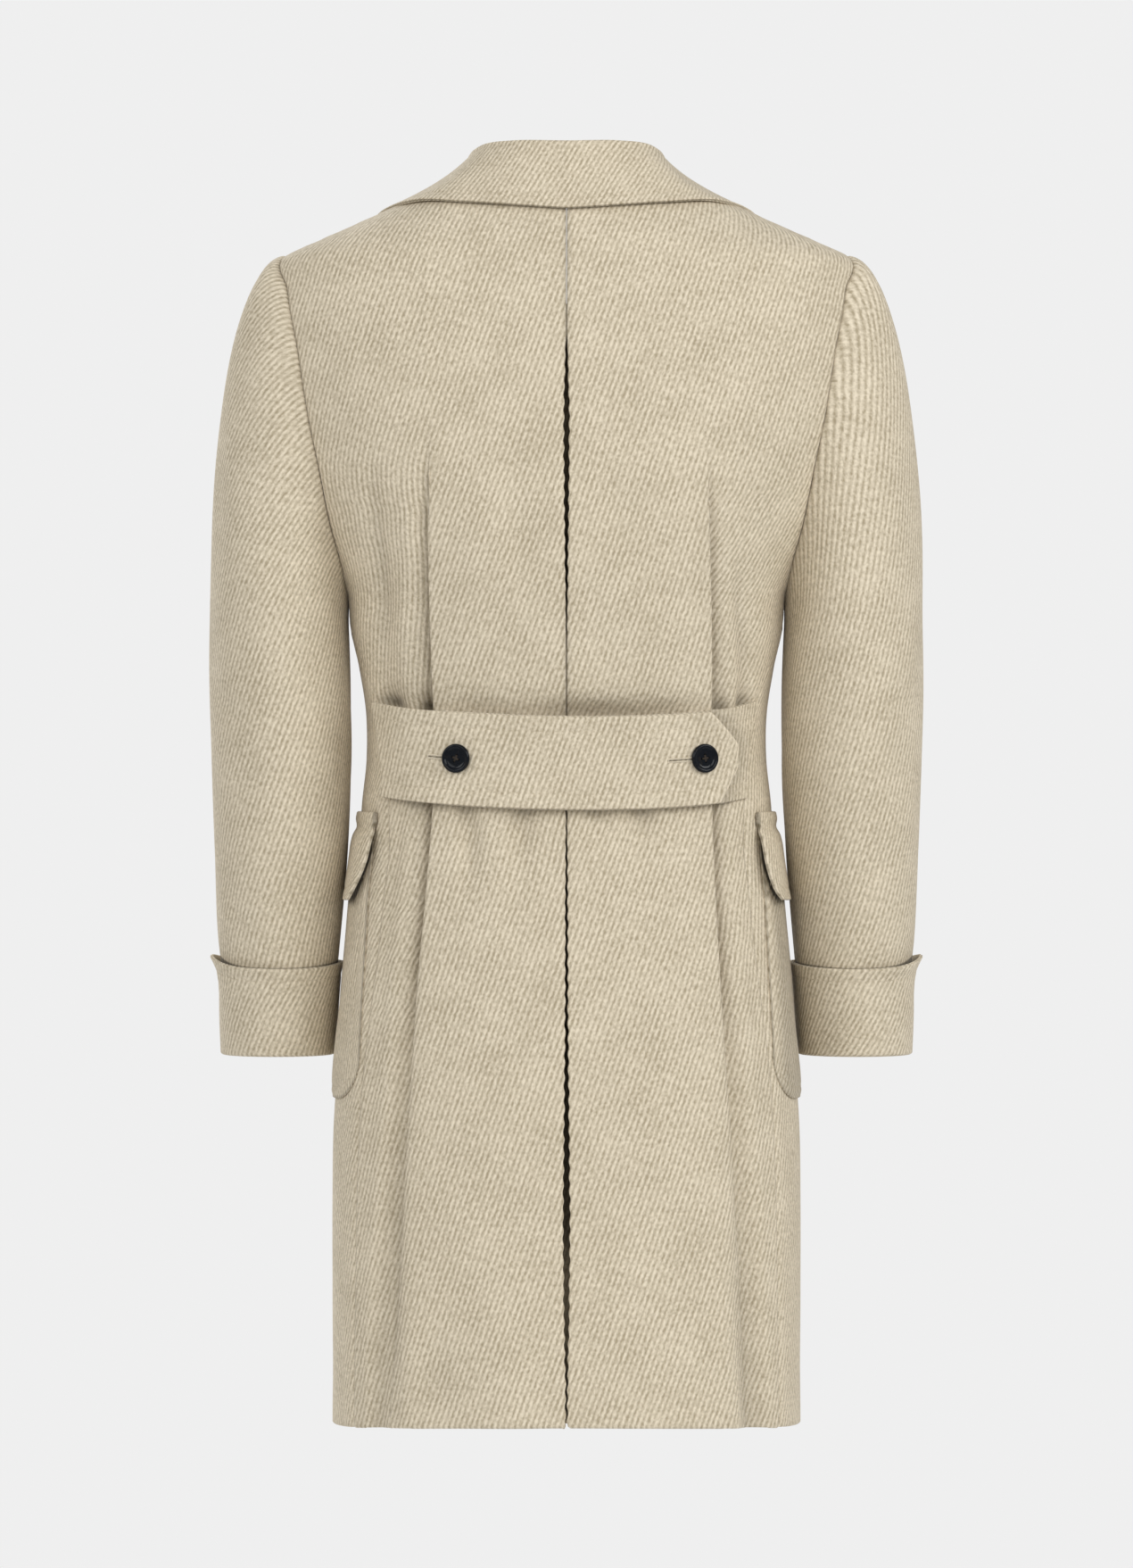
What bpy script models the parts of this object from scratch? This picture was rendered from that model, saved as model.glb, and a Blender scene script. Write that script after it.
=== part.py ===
"""A polo coat, worn and hollow, as cloth walls cut and sewn the way the real coat is.

Metres, +Z up, +Y the way the wearer faces, +X to the wearer's right.
The origin is in the middle of the neck, level with the collar seam.
"""

import math
from collections import namedtuple
from functools import lru_cache

import bmesh
import bpy
import numpy as np
from mathutils import Vector

# Thickness of the cloth, and the gaps between pieces
CLOTH = 0.0025
DOUBLE_CLOTH = 0.0030
SEAM_GAP = 0.0003
BUTTON_GAP = 0.0004
LAY_GAP = 0.0009

# Heights of the coat's main levels
NECK_Z = 0.002
SHOULDER_TIP_Z = -0.062
ARMPIT_Z = -0.345
BREAK_Z = -0.380
HEM_Z = -1.0405
HEM_RISE = 0.0087
HEM_RISE_FROM = -0.560

# Armhole, an egg seen from the side
ARMHOLE_BACK = 0.071
ARMHOLE_FRONT = 0.058
ARMHOLE_COLUMNS = 20
ARMPIT_CLEAR = 0.0010

# Back pleat, which opens at the centre back over an underlay
FLANGE_DEPTH = 0.016
UNDERLAY_HALF_WIDTH = 0.045
UNDERLAY_TOP_Z = -0.105
UNDERLAY_SHORT = 0.003

# Double-breasted front: the left front laps over the right one
WRAP = 0.085
ROLL_TOP_X = 0.072
LAPEL_GORGE_Z = -0.060
LAPEL_SLANT = 0.36
LAPEL_TOP_CLEAR = 0.6
LAPEL_ROWS = 15
LAPEL_COLUMNS = 7
OVER_LIFT = 0.0080
OVER_LIFT_FROM = -0.240
OVER_LIFT_FULL = -0.092
OVER_LIFT_TOP_Z = -0.090
OVER_LIFT_FULL_Z = -0.165

# Half belt across the back
BELT_TOP = 0.0388
BELT_LIFT = 0.0082
BELT_UNDER_END = -0.100
BELT_OVER_CLEAR = 0.0022
BELT_SEAM_X = 0.150
BELT_ROWS = (0.0, 0.175, 0.35, 0.60, 0.80, 1.0)
BELT_COLUMNS = 21
BUTTON_RADIUS = 0.012
FRONT_BUTTON_RADIUS = 0.014

# Patch pocket and flap, measured round the body from its widest point
POCKET_REAR = -0.058
POCKET_SLANT = 0.115
POCKET_FRONT = 0.140
POCKET_TOP_Z = -0.553
POCKET_BOTTOM_Z = -0.767
POCKET_CORNER = 0.036
POCKET_CORNER_TURNS = (0.0, 30.0, 60.0, 90.0)
POCKET_MIDDLE_COLUMNS = 8
POCKET_ROWS = 8
FLAP_TOP_Z = -0.529
FLAP_HEIGHT = 0.073
FLAP_REAR_OVERHANG = 0.0033
FLAP_REAR_SLANT = 0.0116
FLAP_FRONT_OVERHANG = 0.004
FLAP_REAR_CUT = 0.0231
FLAP_REAR_POWER = 3
FLAP_FRONT_CUT = 0.012
FLAP_FRONT_POWER = 10
FLAP_STAND_OFF = 0.0040
FLAP_REAR_FLARE = 0.0045
FLAP_BEND = 0.42
FLAP_ROWS = (0.0, 0.15, 0.30, 0.45, 0.65, 0.82, 0.93, 1.0)
FLAP_COLUMNS = 12

# Turn-back cuff
CUFF_TOP_Z = -0.655
CUFF_DIP = 0.006
CUFF_FLARE = 0.0042
CUFF_FLARE_POWER = 8
CUFF_FLARE_INSIDE = 0.2
CUFF_ROWS = (0.0, 0.4, 0.78, 0.92, 1.0)

# Horizontal sections of the body, from the hem up
Section = namedtuple("Section", "z half_width back front squareness")
TORSO = (
    Section(-1.060, 0.1960, 0.146, 0.131, 2.35),
    Section(-0.930, 0.1965, 0.143, 0.129, 2.35),
    Section(-0.821, 0.1962, 0.139, 0.126, 2.35),
    Section(-0.746, 0.1928, 0.135, 0.123, 2.35),
    Section(-0.690, 0.1877, 0.131, 0.120, 2.35),
    Section(-0.634, 0.1820, 0.126, 0.117, 2.35),
    Section(-0.596, 0.1785, 0.122, 0.114, 2.35),
    Section(-0.559, 0.1740, 0.118, 0.112, 2.35),
    Section(-0.521, 0.1715, 0.114, 0.110, 2.35),
    Section(-0.484, 0.1680, 0.112, 0.109, 2.35),
    Section(-0.446, 0.1683, 0.114, 0.111, 2.35),
    Section(-0.409, 0.1738, 0.119, 0.114, 2.35),
    Section(-0.375, 0.1803, 0.124, 0.117, 2.40),
    Section(-0.345, 0.1835, 0.128, 0.119, 2.40),
    Section(-0.326, 0.1905, 0.130, 0.120, 2.40),
    Section(-0.289, 0.2085, 0.132, 0.121, 2.40),
    Section(-0.244, 0.2260, 0.132, 0.120, 2.40),
    Section(-0.199, 0.2400, 0.130, 0.116, 2.40),
    Section(-0.146, 0.2485, 0.123, 0.107, 2.35),
    Section(-0.094, 0.2462, 0.112, 0.093, 2.30),
    Section(-0.062, 0.2345, 0.103, 0.082, 2.20),
    Section(-0.050, 0.2085, 0.098, 0.074, 2.10),
    Section(-0.035, 0.1748, 0.090, 0.065, 2.00),
    Section(-0.020, 0.1420, 0.082, 0.055, 2.00),
    Section(-0.008, 0.1150, 0.075, 0.046, 2.00),
    Section(0.004, 0.0900, 0.068, 0.037, 2.00),
)

# Where the side seam runs, in degrees round from the centre back
SideSeam = namedtuple("SideSeam", "z turn")
SIDE_SEAM = (
    SideSeam(-1.060, 62.0),
    SideSeam(-0.760, 59.0),
    SideSeam(-0.640, 56.0),
    SideSeam(-0.560, 55.0),
    SideSeam(-0.500, 58.0),
    SideSeam(-0.440, 65.0),
    SideSeam(-0.406, 74.0),
    SideSeam(-0.375, 86.0),
    SideSeam(-0.345, 90.0),
)

# Half the opening of the centre pleat
Slit = namedtuple("Slit", "z half_gap")
SLIT = (
    Slit(-1.060, 0.0006),
    Slit(-1.000, 0.0010),
    Slit(-0.950, 0.0025),
    Slit(-0.870, 0.0035),
    Slit(-0.780, 0.0022),
    Slit(-0.700, 0.0011),
    Slit(-0.600, 0.0010),
    Slit(-0.530, 0.0002),
    Slit(-0.390, 0.0002),
    Slit(-0.330, 0.0012),
    Slit(-0.260, 0.0023),
    Slit(-0.200, 0.0029),
    Slit(-0.150, 0.0013),
    Slit(-0.128, 0.0002),
    Slit(0.004, 0.0002),
)

# Side pleats of the back: the middle stands above the sides along a folded edge
Pleat = namedtuple("Pleat", "z x rise softness")
PLEAT = (
    Pleat(-1.060, 0.152, 0.0040, 0.018),
    Pleat(-0.895, 0.142, 0.0050, 0.013),
    Pleat(-0.745, 0.131, 0.0060, 0.008),
    Pleat(-0.600, 0.121, 0.0068, 0.005),
    Pleat(-0.520, 0.118, 0.0070, 0.004),
    Pleat(-0.440, 0.118, 0.0070, 0.004),
    Pleat(-0.360, 0.118, 0.0055, 0.005),
    Pleat(-0.280, 0.117, 0.0030, 0.009),
    Pleat(-0.200, 0.116, 0.0000, 0.013),
    Pleat(0.004, 0.116, 0.0000, 0.013),
)

# Soft folds of the back, each strongest half way between its two ends, that die out at the side seam
SEAM_FADE = 0.024
Fold = namedtuple("Fold", "z_low z_high x_low x_high rise width")
BACK_FOLDS = (
    Fold(-1.560, -0.540, 0.188, 0.138, -0.0055, 0.014),
    Fold(-0.520, -0.250, 0.139, 0.136, -0.0040, 0.011),
    Fold(-1.700, -0.600, 0.080, 0.050, 0.0030, 0.036),
)

# Soft folds of the fronts, placed by their distance from the centre front
FRONT_FOLDS = (
    Fold(-1.560, -0.760, 0.172, 0.160, 0.0045, 0.024),
    Fold(-1.560, -0.720, 0.128, 0.124, -0.0040, 0.020),
)

# Sections of the sleeve, from the wrist up
SleeveSection = namedtuple("SleeveSection", "z x y half_width half_depth")
SLEEVE = (
    SleeveSection(-0.7335, 0.2438, 0.036, 0.0448, 0.0580),
    SleeveSection(-0.7000, 0.2432, 0.031, 0.0464, 0.0605),
    SleeveSection(-0.6720, 0.2422, 0.027, 0.0474, 0.0625),
    SleeveSection(-0.6340, 0.2424, 0.022, 0.0512, 0.0660),
    SleeveSection(-0.5590, 0.2404, 0.011, 0.0560, 0.0710),
    SleeveSection(-0.4840, 0.2398, 0.004, 0.0588, 0.0755),
    SleeveSection(-0.4200, 0.2405, -0.001, 0.0592, 0.0780),
    SleeveSection(-0.3600, 0.2414, -0.003, 0.0580, 0.0800),
)
SLEEVE_ROWS = (-0.7335, -0.7000, -0.6650, -0.6200, -0.5600, -0.5000, -0.4500, -0.4000)
CAP_ROWS = 7
CAP_ROUND = 2.14
CAP_FLAT = 1.35

# Collar: the fold round the neck, the stand's foot, and the edge that lies on the shoulders
CollarSection = namedtuple(
    "CollarSection", "at fold_x fold_y fold_z foot_x foot_y foot_z edge_turn edge_z"
)
COLLAR = (
    CollarSection(0.00, 0.000, -0.073, 0.0288, 0.0000, -0.0670, 0.0028, 0.0, -0.0300),
    CollarSection(0.25, 0.044, -0.063, 0.0298, 0.0500, -0.0560, 0.0028, 33.7, -0.0240),
    CollarSection(0.45, 0.069, -0.038, 0.0286, 0.0780, -0.0330, 0.0028, 62.7, -0.0206),
    CollarSection(0.60, 0.079, -0.006, 0.0228, 0.0890, -0.0020, 0.0028, 90.0, -0.0231),
    CollarSection(0.80, 0.075, 0.037, 0.0030, 0.0740, 0.0350, -0.0010, 128.0, -0.0450),
    CollarSection(1.00, 0.054, 0.083, -0.0440, 0.0535, 0.0780, -0.0490, 150.0, -0.0580),
)
COLLAR_ROLL = 0.0042
COLLAR_COLUMNS = 30
COLLAR_BULGE = -0.0010
COLLAR_HOLLOW = -0.0024
COLLAR_HOLLOW_AT = 0.50
COLLAR_HOLLOW_WIDTH = 0.11
COLLAR_FOLD_TURNS = (180.0, 120.0, 60.0, 0.0)
COLLAR_FALL_ROWS = (0.33, 0.67, 1.0)

# Lapel width along its roll line, from the break up to the gorge
Lapel = namedtuple("Lapel", "at width")
LAPEL = (
    Lapel(0.00, 0.006),
    Lapel(0.25, 0.046),
    Lapel(0.50, 0.078),
    Lapel(0.75, 0.098),
    Lapel(1.00, 0.108),
)

# Where the upper belt ends, from its lower edge up
BeltEnd = namedtuple("BeltEnd", "up reach")
BELT_POINT = (
    BeltEnd(0.00, 0.1230),
    BeltEnd(0.35, 0.1415),
    BeltEnd(0.60, 0.1415),
    BeltEnd(1.00, 0.1155),
)

# The belt's middle line, by distance from the centre back
BeltLine = namedtuple("BeltLine", "x z")
BELT_LINE = (
    BeltLine(-0.180, -0.4745),
    BeltLine(-0.110, -0.4822),
    BeltLine(0.000, -0.4878),
    BeltLine(0.110, -0.4840),
    BeltLine(0.180, -0.4745),
)

# Turned profile of a button of unit radius: distance from the axis and height
ButtonRing = namedtuple("ButtonRing", "radius height")
BUTTON = (
    ButtonRing(0.000, 0.000),
    ButtonRing(0.860, 0.000),
    ButtonRing(1.000, 0.120),
    ButtonRing(1.000, 0.230),
    ButtonRing(0.860, 0.340),
    ButtonRing(0.700, 0.240),
    ButtonRing(0.000, 0.220),
)
BUTTON_SIDES = 12

# Buttons: distance from the centre line and height
BELT_BUTTONS = {"belt_button_left": -0.0866, "belt_button_right": 0.1087}
FRONT_BUTTON_X = 0.058
FRONT_BUTTON_Z = (-0.400, -0.505, -0.610)

# Heights of the rows that the body's walls are made of, besides those at the armhole
SKIRT_ROWS = (HEM_Z, -0.97, -0.89, -0.81, -0.74, -0.68, -0.62, -0.57, -0.53)
WAIST_ROWS = (-0.49, -0.45, -0.415, -0.38, -0.362)
SHOULDER_ROWS = (-0.045, -0.028, -0.012, NECK_Z)
BACK_MIDDLE_COLUMNS = 5
BACK_SIDE_COLUMNS = 5
FRONT_COLUMNS = 14
PLEAT_MOST_SHARE = 0.78

RING_STEPS = 360
NUDGE = 0.0008
LEFT = -1
RIGHT = 1

# Colours and finishes
CAMEL_CLOTH = ((0.60, 0.52, 0.39, 1.0), 0.9)
DARK_HORN = ((0.012, 0.013, 0.016, 1.0), 0.25)


def clear_scene():
    """Empties the scene before the coat is made."""
    for old in list(bpy.data.objects):
        bpy.data.objects.remove(old)


def finish(name, colour, roughness):
    """A material with a colour and a roughness."""
    made = bpy.data.materials.new(name)
    made.use_nodes = True
    shader = made.node_tree.nodes["Principled BSDF"]
    shader.inputs["Base Color"].default_value = colour
    shader.inputs["Roughness"].default_value = roughness
    shader.inputs["Metallic"].default_value = 0.0
    return made


def column(table, name, at):
    """A table's column at a place between its rows, on a smooth cubic through them."""
    places = np.array([row[0] for row in table])
    values = np.array([getattr(row, name) for row in table])
    slopes = np.gradient(values, places)
    i = int(np.clip(np.searchsorted(places, at) - 1, 0, len(places) - 2))
    span = places[i + 1] - places[i]
    t = min(max((at - places[i]) / span, 0.0), 1.0)
    rise = values[i + 1] - values[i]
    start = t * (1 - t) ** 2 * span * slopes[i]
    end = t * t * (t - 1) * span * slopes[i + 1]
    return values[i] + rise * t * t * (3 - 2 * t) + start + end


def straight(table, name, at):
    """A table's column at a place between its rows, on straight lines."""
    return float(np.interp(at, [row[0] for row in table], [getattr(row, name) for row in table]))


def smoothstep(low, high, value):
    """0 below low and 1 above high, with a soft ramp between them."""
    t = min(max((value - low) / (high - low), 0.0), 1.0)
    return t * t * (3 - 2 * t)


@lru_cache(maxsize=None)
def ring(z):
    """Half a ring of the body from centre back to centre front: x, y and distance along it."""
    turn = np.linspace(0.0, math.pi, RING_STEPS + 1)
    power = 2.0 / column(TORSO, "squareness", z)
    across, ahead = np.abs(np.sin(turn)) ** power, np.abs(np.cos(turn)) ** power
    depth = np.where(turn < math.pi / 2, -column(TORSO, "back", z), column(TORSO, "front", z))
    x, y = column(TORSO, "half_width", z) * across, depth * ahead
    along = np.concatenate([[0.0], np.cumsum(np.hypot(np.diff(x), np.diff(y)))])
    return x, y, along


def half_round(z):
    """Distance round the body from centre back to centre front."""
    return float(ring(z)[2][-1])


def skin(z, s):
    """Point of the body at a height and a distance round from centre back, to the right positive."""
    x, y, along = ring(z)
    whole = along[-1]
    s = (s + whole) % (2 * whole) - whole
    place_x, place_y = np.interp(abs(s), along, x), np.interp(abs(s), along, y)
    behind = min(0.0, place_y) / y[0]
    rise = HEM_RISE * behind**2 * max(0.0, (HEM_RISE_FROM - z) / (HEM_RISE_FROM - HEM_Z))
    return np.array([math.copysign(place_x, s), place_y, z + rise])


def outward(z, s):
    """Unit normal of the body there, pointing out."""
    round_it = skin(z, s + NUDGE) - skin(z, s - NUDGE)
    up = skin(z + NUDGE, s) - skin(z - NUDGE, s)
    normal = np.cross(round_it, up)
    return normal / np.linalg.norm(normal)


def lifted(z, s, lift):
    """Point that stands above the body by lift."""
    return skin(z, s) + lift * outward(z, s)


def along_at_turn(z, degrees):
    """Distance round from centre back to a direction in degrees."""
    return float(ring(z)[2][int(round(degrees / 180.0 * RING_STEPS))])


def along_at_x(z, x):
    """Distance round the back half from centre back to a distance from the middle plane."""
    xs, _, along = ring(z)
    quarter = RING_STEPS // 2
    return float(np.interp(x, xs[: quarter + 1], along[: quarter + 1]))


def front_along_at_x(z, x):
    """Distance round the front half from centre front to a distance from the middle plane."""
    xs, _, along = ring(z)
    quarter = RING_STEPS // 2
    return float(np.interp(x, xs[quarter:][::-1], (along[-1] - along[quarter:])[::-1]))


def armhole_height(turn):
    """Height on the armhole, from its top at turn 0 to the armpit at turn pi."""
    middle, half = (SHOULDER_TIP_Z + ARMPIT_Z) / 2, (SHOULDER_TIP_Z - ARMPIT_Z) / 2
    return middle + half * math.cos(turn)


def armhole_share(z):
    """How far the armhole opens at a height, from 0 at its ends to 1 half way."""
    middle, half = (SHOULDER_TIP_Z + ARMPIT_Z) / 2, (SHOULDER_TIP_Z - ARMPIT_Z) / 2
    return math.sqrt(max(0.0, 1.0 - ((z - middle) / half) ** 2))


def panel_edge(z, depth):
    """Distance round to the outer edge of a panel; depth is the armhole's, negative at the back."""
    if z >= SHOULDER_TIP_Z:
        return along_at_turn(z, 90.0)
    if z > ARMPIT_Z:
        _, y, along = ring(z)
        return float(np.interp(depth * armhole_share(z), y, along))
    along = ring(z)[2]
    place = straight(SIDE_SEAM, "turn", z) / 180.0 * RING_STEPS
    return float(np.interp(place, np.arange(RING_STEPS + 1), along))


def body_rows():
    """Heights of the rows of the body's walls, from the hem to the neck."""
    half = ARMHOLE_COLUMNS // 2
    armhole = [armhole_height(math.pi * (half - i) / half) for i in range(half + 1)]
    return [*SKIRT_ROWS, *WAIST_ROWS, *armhole, *SHOULDER_ROWS]


def fold_relief(folds, z, x):
    """Height of the soft folds at a height and a distance x."""
    relief = 0.0
    for fold in folds:
        t = (z - fold.z_low) / (fold.z_high - fold.z_low)
        if 0.0 < t < 1.0:
            middle = fold.x_low + (fold.x_high - fold.x_low) * t
            relief += fold.rise * math.sin(math.pi * t) ** 2 * math.exp(-(((x - middle) / fold.width) ** 2))
    return relief


def back_relief(z, s):
    """How far the back stands above the body: the raised middle, and soft folds that end at the seam."""
    x = abs(skin(z, s)[0])
    edge, soft = column(PLEAT, "x", z), column(PLEAT, "softness", z)
    raised = 1.0 - smoothstep(edge - soft / 2, edge + soft / 2, x)
    inside = smoothstep(0.0, SEAM_FADE, panel_edge(z, -ARMHOLE_BACK) - abs(s))
    return max(0.0, column(PLEAT, "rise", z)) * raised + fold_relief(BACK_FOLDS, z, x) * inside


def tube_normals(points):
    """Unit normals of a tube's grid of points, rows up and columns to the right as seen from outside."""
    across = np.roll(points, -1, axis=1) - np.roll(points, 1, axis=1)
    normals = np.cross(across, np.gradient(points, axis=0))
    return normals / np.linalg.norm(normals, axis=2, keepdims=True)


def wall(name, outer, inner, material, closed=False):
    """A cloth wall between an outer and an inner grid of points; closed joins the side columns."""
    rows, columns = outer.shape[:2]
    bm = bmesh.new()
    bmesh.ops.create_grid(bm, x_segments=columns - (0 if closed else 1), y_segments=rows - 1, size=1.0)
    place = bm.verts.layers.int.new("place")
    width = columns + (1 if closed else 0)
    for i, vert in enumerate(bm.verts):
        row, col = divmod(i, width)
        vert[place] = row * columns + col % columns
        vert.co = outer[row, col % columns]
    if closed:
        seam = [v for i, v in enumerate(bm.verts) if i % width in (0, columns)]
        bmesh.ops.remove_doubles(bm, verts=seam, dist=1e-6)
    inside = inner.reshape(-1, 3)
    made = bmesh.ops.extrude_face_region(bm, geom=bm.faces[:], use_keep_orig=True)
    for part in made["geom"]:
        if isinstance(part, bmesh.types.BMVert):
            part.co = inside[part[place]]
    bmesh.ops.recalc_face_normals(bm, faces=bm.faces[:])
    return add_object(name, bm, material)


def add_object(name, bm, material):
    """Turns a bmesh into a smooth-shaded object of that name."""
    mesh = bpy.data.meshes.new(name)
    bm.to_mesh(mesh)
    bm.free()
    mesh.shade_smooth()
    mesh.set_sharp_from_angle(angle=math.radians(40))
    mesh.materials.append(material)
    made = bpy.data.objects.new(name, mesh)
    bpy.context.scene.collection.objects.link(made)
    return made


def back_row_columns(z):
    """Distances round from centre back of the columns of a back panel at a height."""
    start = straight(SLIT, "half_gap", z)
    edge = panel_edge(z, -ARMHOLE_BACK) - SEAM_GAP / 2
    x, soft = column(PLEAT, "x", z), column(PLEAT, "softness", z)
    top = min(along_at_x(z, x - soft / 2), PLEAT_MOST_SHARE * edge)
    foot = min(along_at_x(z, x + soft / 2), PLEAT_MOST_SHARE * edge + soft)
    middle = np.linspace(start, top, BACK_MIDDLE_COLUMNS + 1)
    side = np.linspace(foot, edge, BACK_SIDE_COLUMNS + 1)
    return np.concatenate([middle, side])


def back_panel(side, name, cloth):
    """One half of the back: a turned-in edge at the centre pleat, the middle, the side pleat and the side."""
    outer, inner = [], []
    for z in body_rows():
        columns = back_row_columns(z)
        lifts = [back_relief(z, side * s) for s in columns]
        out = [lifted(z, side * s, lift) for s, lift in zip(columns, lifts)]
        turned_in = lifted(z, side * columns[0], -FLANGE_DEPTH)
        outer.append([turned_in, *out])
        behind = [lifted(z, side * s, lift - CLOTH) for s, lift in zip(columns, lifts)]
        shift = side * CLOTH * np.array([1.0, 0.0, 0.0])
        behind[0] = behind[0] + shift
        inner.append([turned_in + shift, *behind])
    return wall(name, np.array(outer), np.array(inner), cloth)


def pleat_underlay(cloth):
    """The strip of cloth behind the centre pleat, which its turned-in edges lie on."""
    rows = [z for z in body_rows() if z < UNDERLAY_TOP_Z]
    rows[0] += UNDERLAY_SHORT
    across = np.linspace(-UNDERLAY_HALF_WIDTH, UNDERLAY_HALF_WIDTH, 3)
    depth = FLANGE_DEPTH + SEAM_GAP
    outer = [[lifted(z, s, -depth) for s in across] for z in rows]
    inner = [[lifted(z, s, -depth - CLOTH) for s in across] for z in rows]
    return wall("pleat_underlay", np.array(outer), np.array(inner), cloth)


def roll_x(z):
    """Where a front's roll line crosses a height, own side positive and past the middle negative."""
    return ROLL_TOP_X - (ROLL_TOP_X + WRAP) * (NECK_Z - z) / (NECK_Z - BREAK_Z)


def front_end(z):
    """Distance past the centre front that a front reaches: its edge, or its roll line higher up."""
    if z <= BREAK_Z:
        return WRAP
    x = roll_x(z)
    return -math.copysign(front_along_at_x(z, abs(x)), x)


def front_lift(side, z, past):
    """How far a front stands above the body; the left one lies over the right one."""
    folds = fold_relief(FRONT_FOLDS, z, -past)
    if side == RIGHT:
        return folds
    lapped = smoothstep(OVER_LIFT_FROM, OVER_LIFT_FULL, past)
    lower = smoothstep(OVER_LIFT_TOP_Z, OVER_LIFT_FULL_Z, z)
    return folds + OVER_LIFT * lapped * lower


def on_front(side, z, past, lift):
    """Point above a front, by its distance past the centre front."""
    return lifted(z, side * (half_round(z) + past), front_lift(side, z, past) + lift)


def front_panel(side, name, cloth):
    """One front, from the side seam, armhole and shoulder to its edge and roll line."""
    outer, inner = [], []
    for z in body_rows():
        start = panel_edge(z, ARMHOLE_FRONT) + SEAM_GAP / 2 - half_round(z)
        places = np.linspace(start, front_end(z), FRONT_COLUMNS + 1)
        outer.append([on_front(side, z, past, 0.0) for past in places])
        inner.append([on_front(side, z, past, -CLOTH) for past in places])
    return wall(name, np.array(outer), np.array(inner), cloth)


def lapel(side, name, cloth):
    """The turned-back top of a front, lying on it outside its roll line."""
    outer, inner = [], []
    for at in np.linspace(0.0, 1.0, LAPEL_ROWS):
        z = BREAK_Z + (LAPEL_GORGE_Z - BREAK_Z) * at
        width = column(LAPEL, "width", at)
        upper, lower = [], []
        for share in np.linspace(0.0, 1.0, LAPEL_COLUMNS):
            low = z - LAPEL_SLANT * width * share
            past = front_end(z) - width * share
            clear = LAY_GAP * (1.0 + LAPEL_TOP_CLEAR * at)
            lower.append(on_front(side, low, past, clear))
            upper.append(on_front(side, low, past, clear + CLOTH))
        outer.append(upper)
        inner.append(lower)
    return wall(name, np.array(outer), np.array(inner), cloth)


def armhole_point(side, turn):
    """Point of the armhole seam; turn goes from the shoulder tip round the back to the armpit and front."""
    z = armhole_height(turn)
    depth = -ARMHOLE_BACK if math.sin(turn) >= 0 else ARMHOLE_FRONT
    return lifted(z, side * panel_edge(z, depth), ARMPIT_CLEAR * max(0.0, -math.cos(turn)))


def sleeve_ring(side, z, turn, grown=0.0):
    """Point of the sleeve at a height; turn goes from the outside round the back to the inside."""
    x = column(SLEEVE, "x", z) + (column(SLEEVE, "half_width", z) + grown) * math.cos(turn)
    y = column(SLEEVE, "y", z) - (column(SLEEVE, "half_depth", z) + grown) * math.sin(turn)
    return np.array([side * x, y, z])


def sleeve_cap(side, turn, t):
    """Point of the sleeve head, from the round sleeve at t 0 up to the armhole at t 1."""
    foot, top = sleeve_ring(side, SLEEVE[-1].z, turn), armhole_point(side, turn)
    power = CAP_FLAT + (CAP_ROUND - CAP_FLAT) * max(0.0, math.cos(turn))
    up = math.sin(t * math.pi / 2)
    out = (1.0 - up**power) ** (1.0 / power)
    return np.array([*(top[:2] + (foot[:2] - top[:2]) * out), foot[2] + (top[2] - foot[2]) * up])


def sleeve(side, name, cloth):
    """A sleeve: a tube from the wrist to the armpit, and the sleeve head up to the armhole seam."""
    turns = [2 * math.pi * i / ARMHOLE_COLUMNS for i in range(ARMHOLE_COLUMNS)]
    rows = [[sleeve_ring(side, z, turn) for turn in turns] for z in SLEEVE_ROWS]
    for i in range(CAP_ROWS + 1):
        rows.append([sleeve_cap(side, turn, i / CAP_ROWS) for turn in turns])
    outer = np.array(rows)
    away = outer[-2] - outer[-1]
    length = np.linalg.norm(away, axis=1, keepdims=True)
    outer[-1] += np.minimum(2 * SEAM_GAP, 0.4 * length) * away / length
    outer = outer[:, ::-side]
    return wall(name, outer, outer - CLOTH * tube_normals(outer), cloth, closed=True)


def cuff(side, name, cloth):
    """The turned-back cuff round the end of a sleeve, standing off a little at its top."""
    bottom = SLEEVE[0].z
    outer, inner = [], []
    for share in CUFF_ROWS:
        upper, lower = [], []
        for i in range(ARMHOLE_COLUMNS):
            turn = 2 * math.pi * i / ARMHOLE_COLUMNS
            top = CUFF_TOP_Z - CUFF_DIP * max(0.0, math.sin(turn))
            z = bottom + (top - bottom) * share
            outside = CUFF_FLARE_INSIDE + (1 - CUFF_FLARE_INSIDE) * (1 + math.cos(turn)) / 2
            clear = LAY_GAP + CUFF_FLARE * share**CUFF_FLARE_POWER * outside
            lower.append(sleeve_ring(side, z, turn, clear))
            upper.append(sleeve_ring(side, z, turn, clear + DOUBLE_CLOTH))
        outer.append(upper)
        inner.append(lower)
    return wall(name, np.array(outer), np.array(inner), cloth, closed=True)


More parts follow.
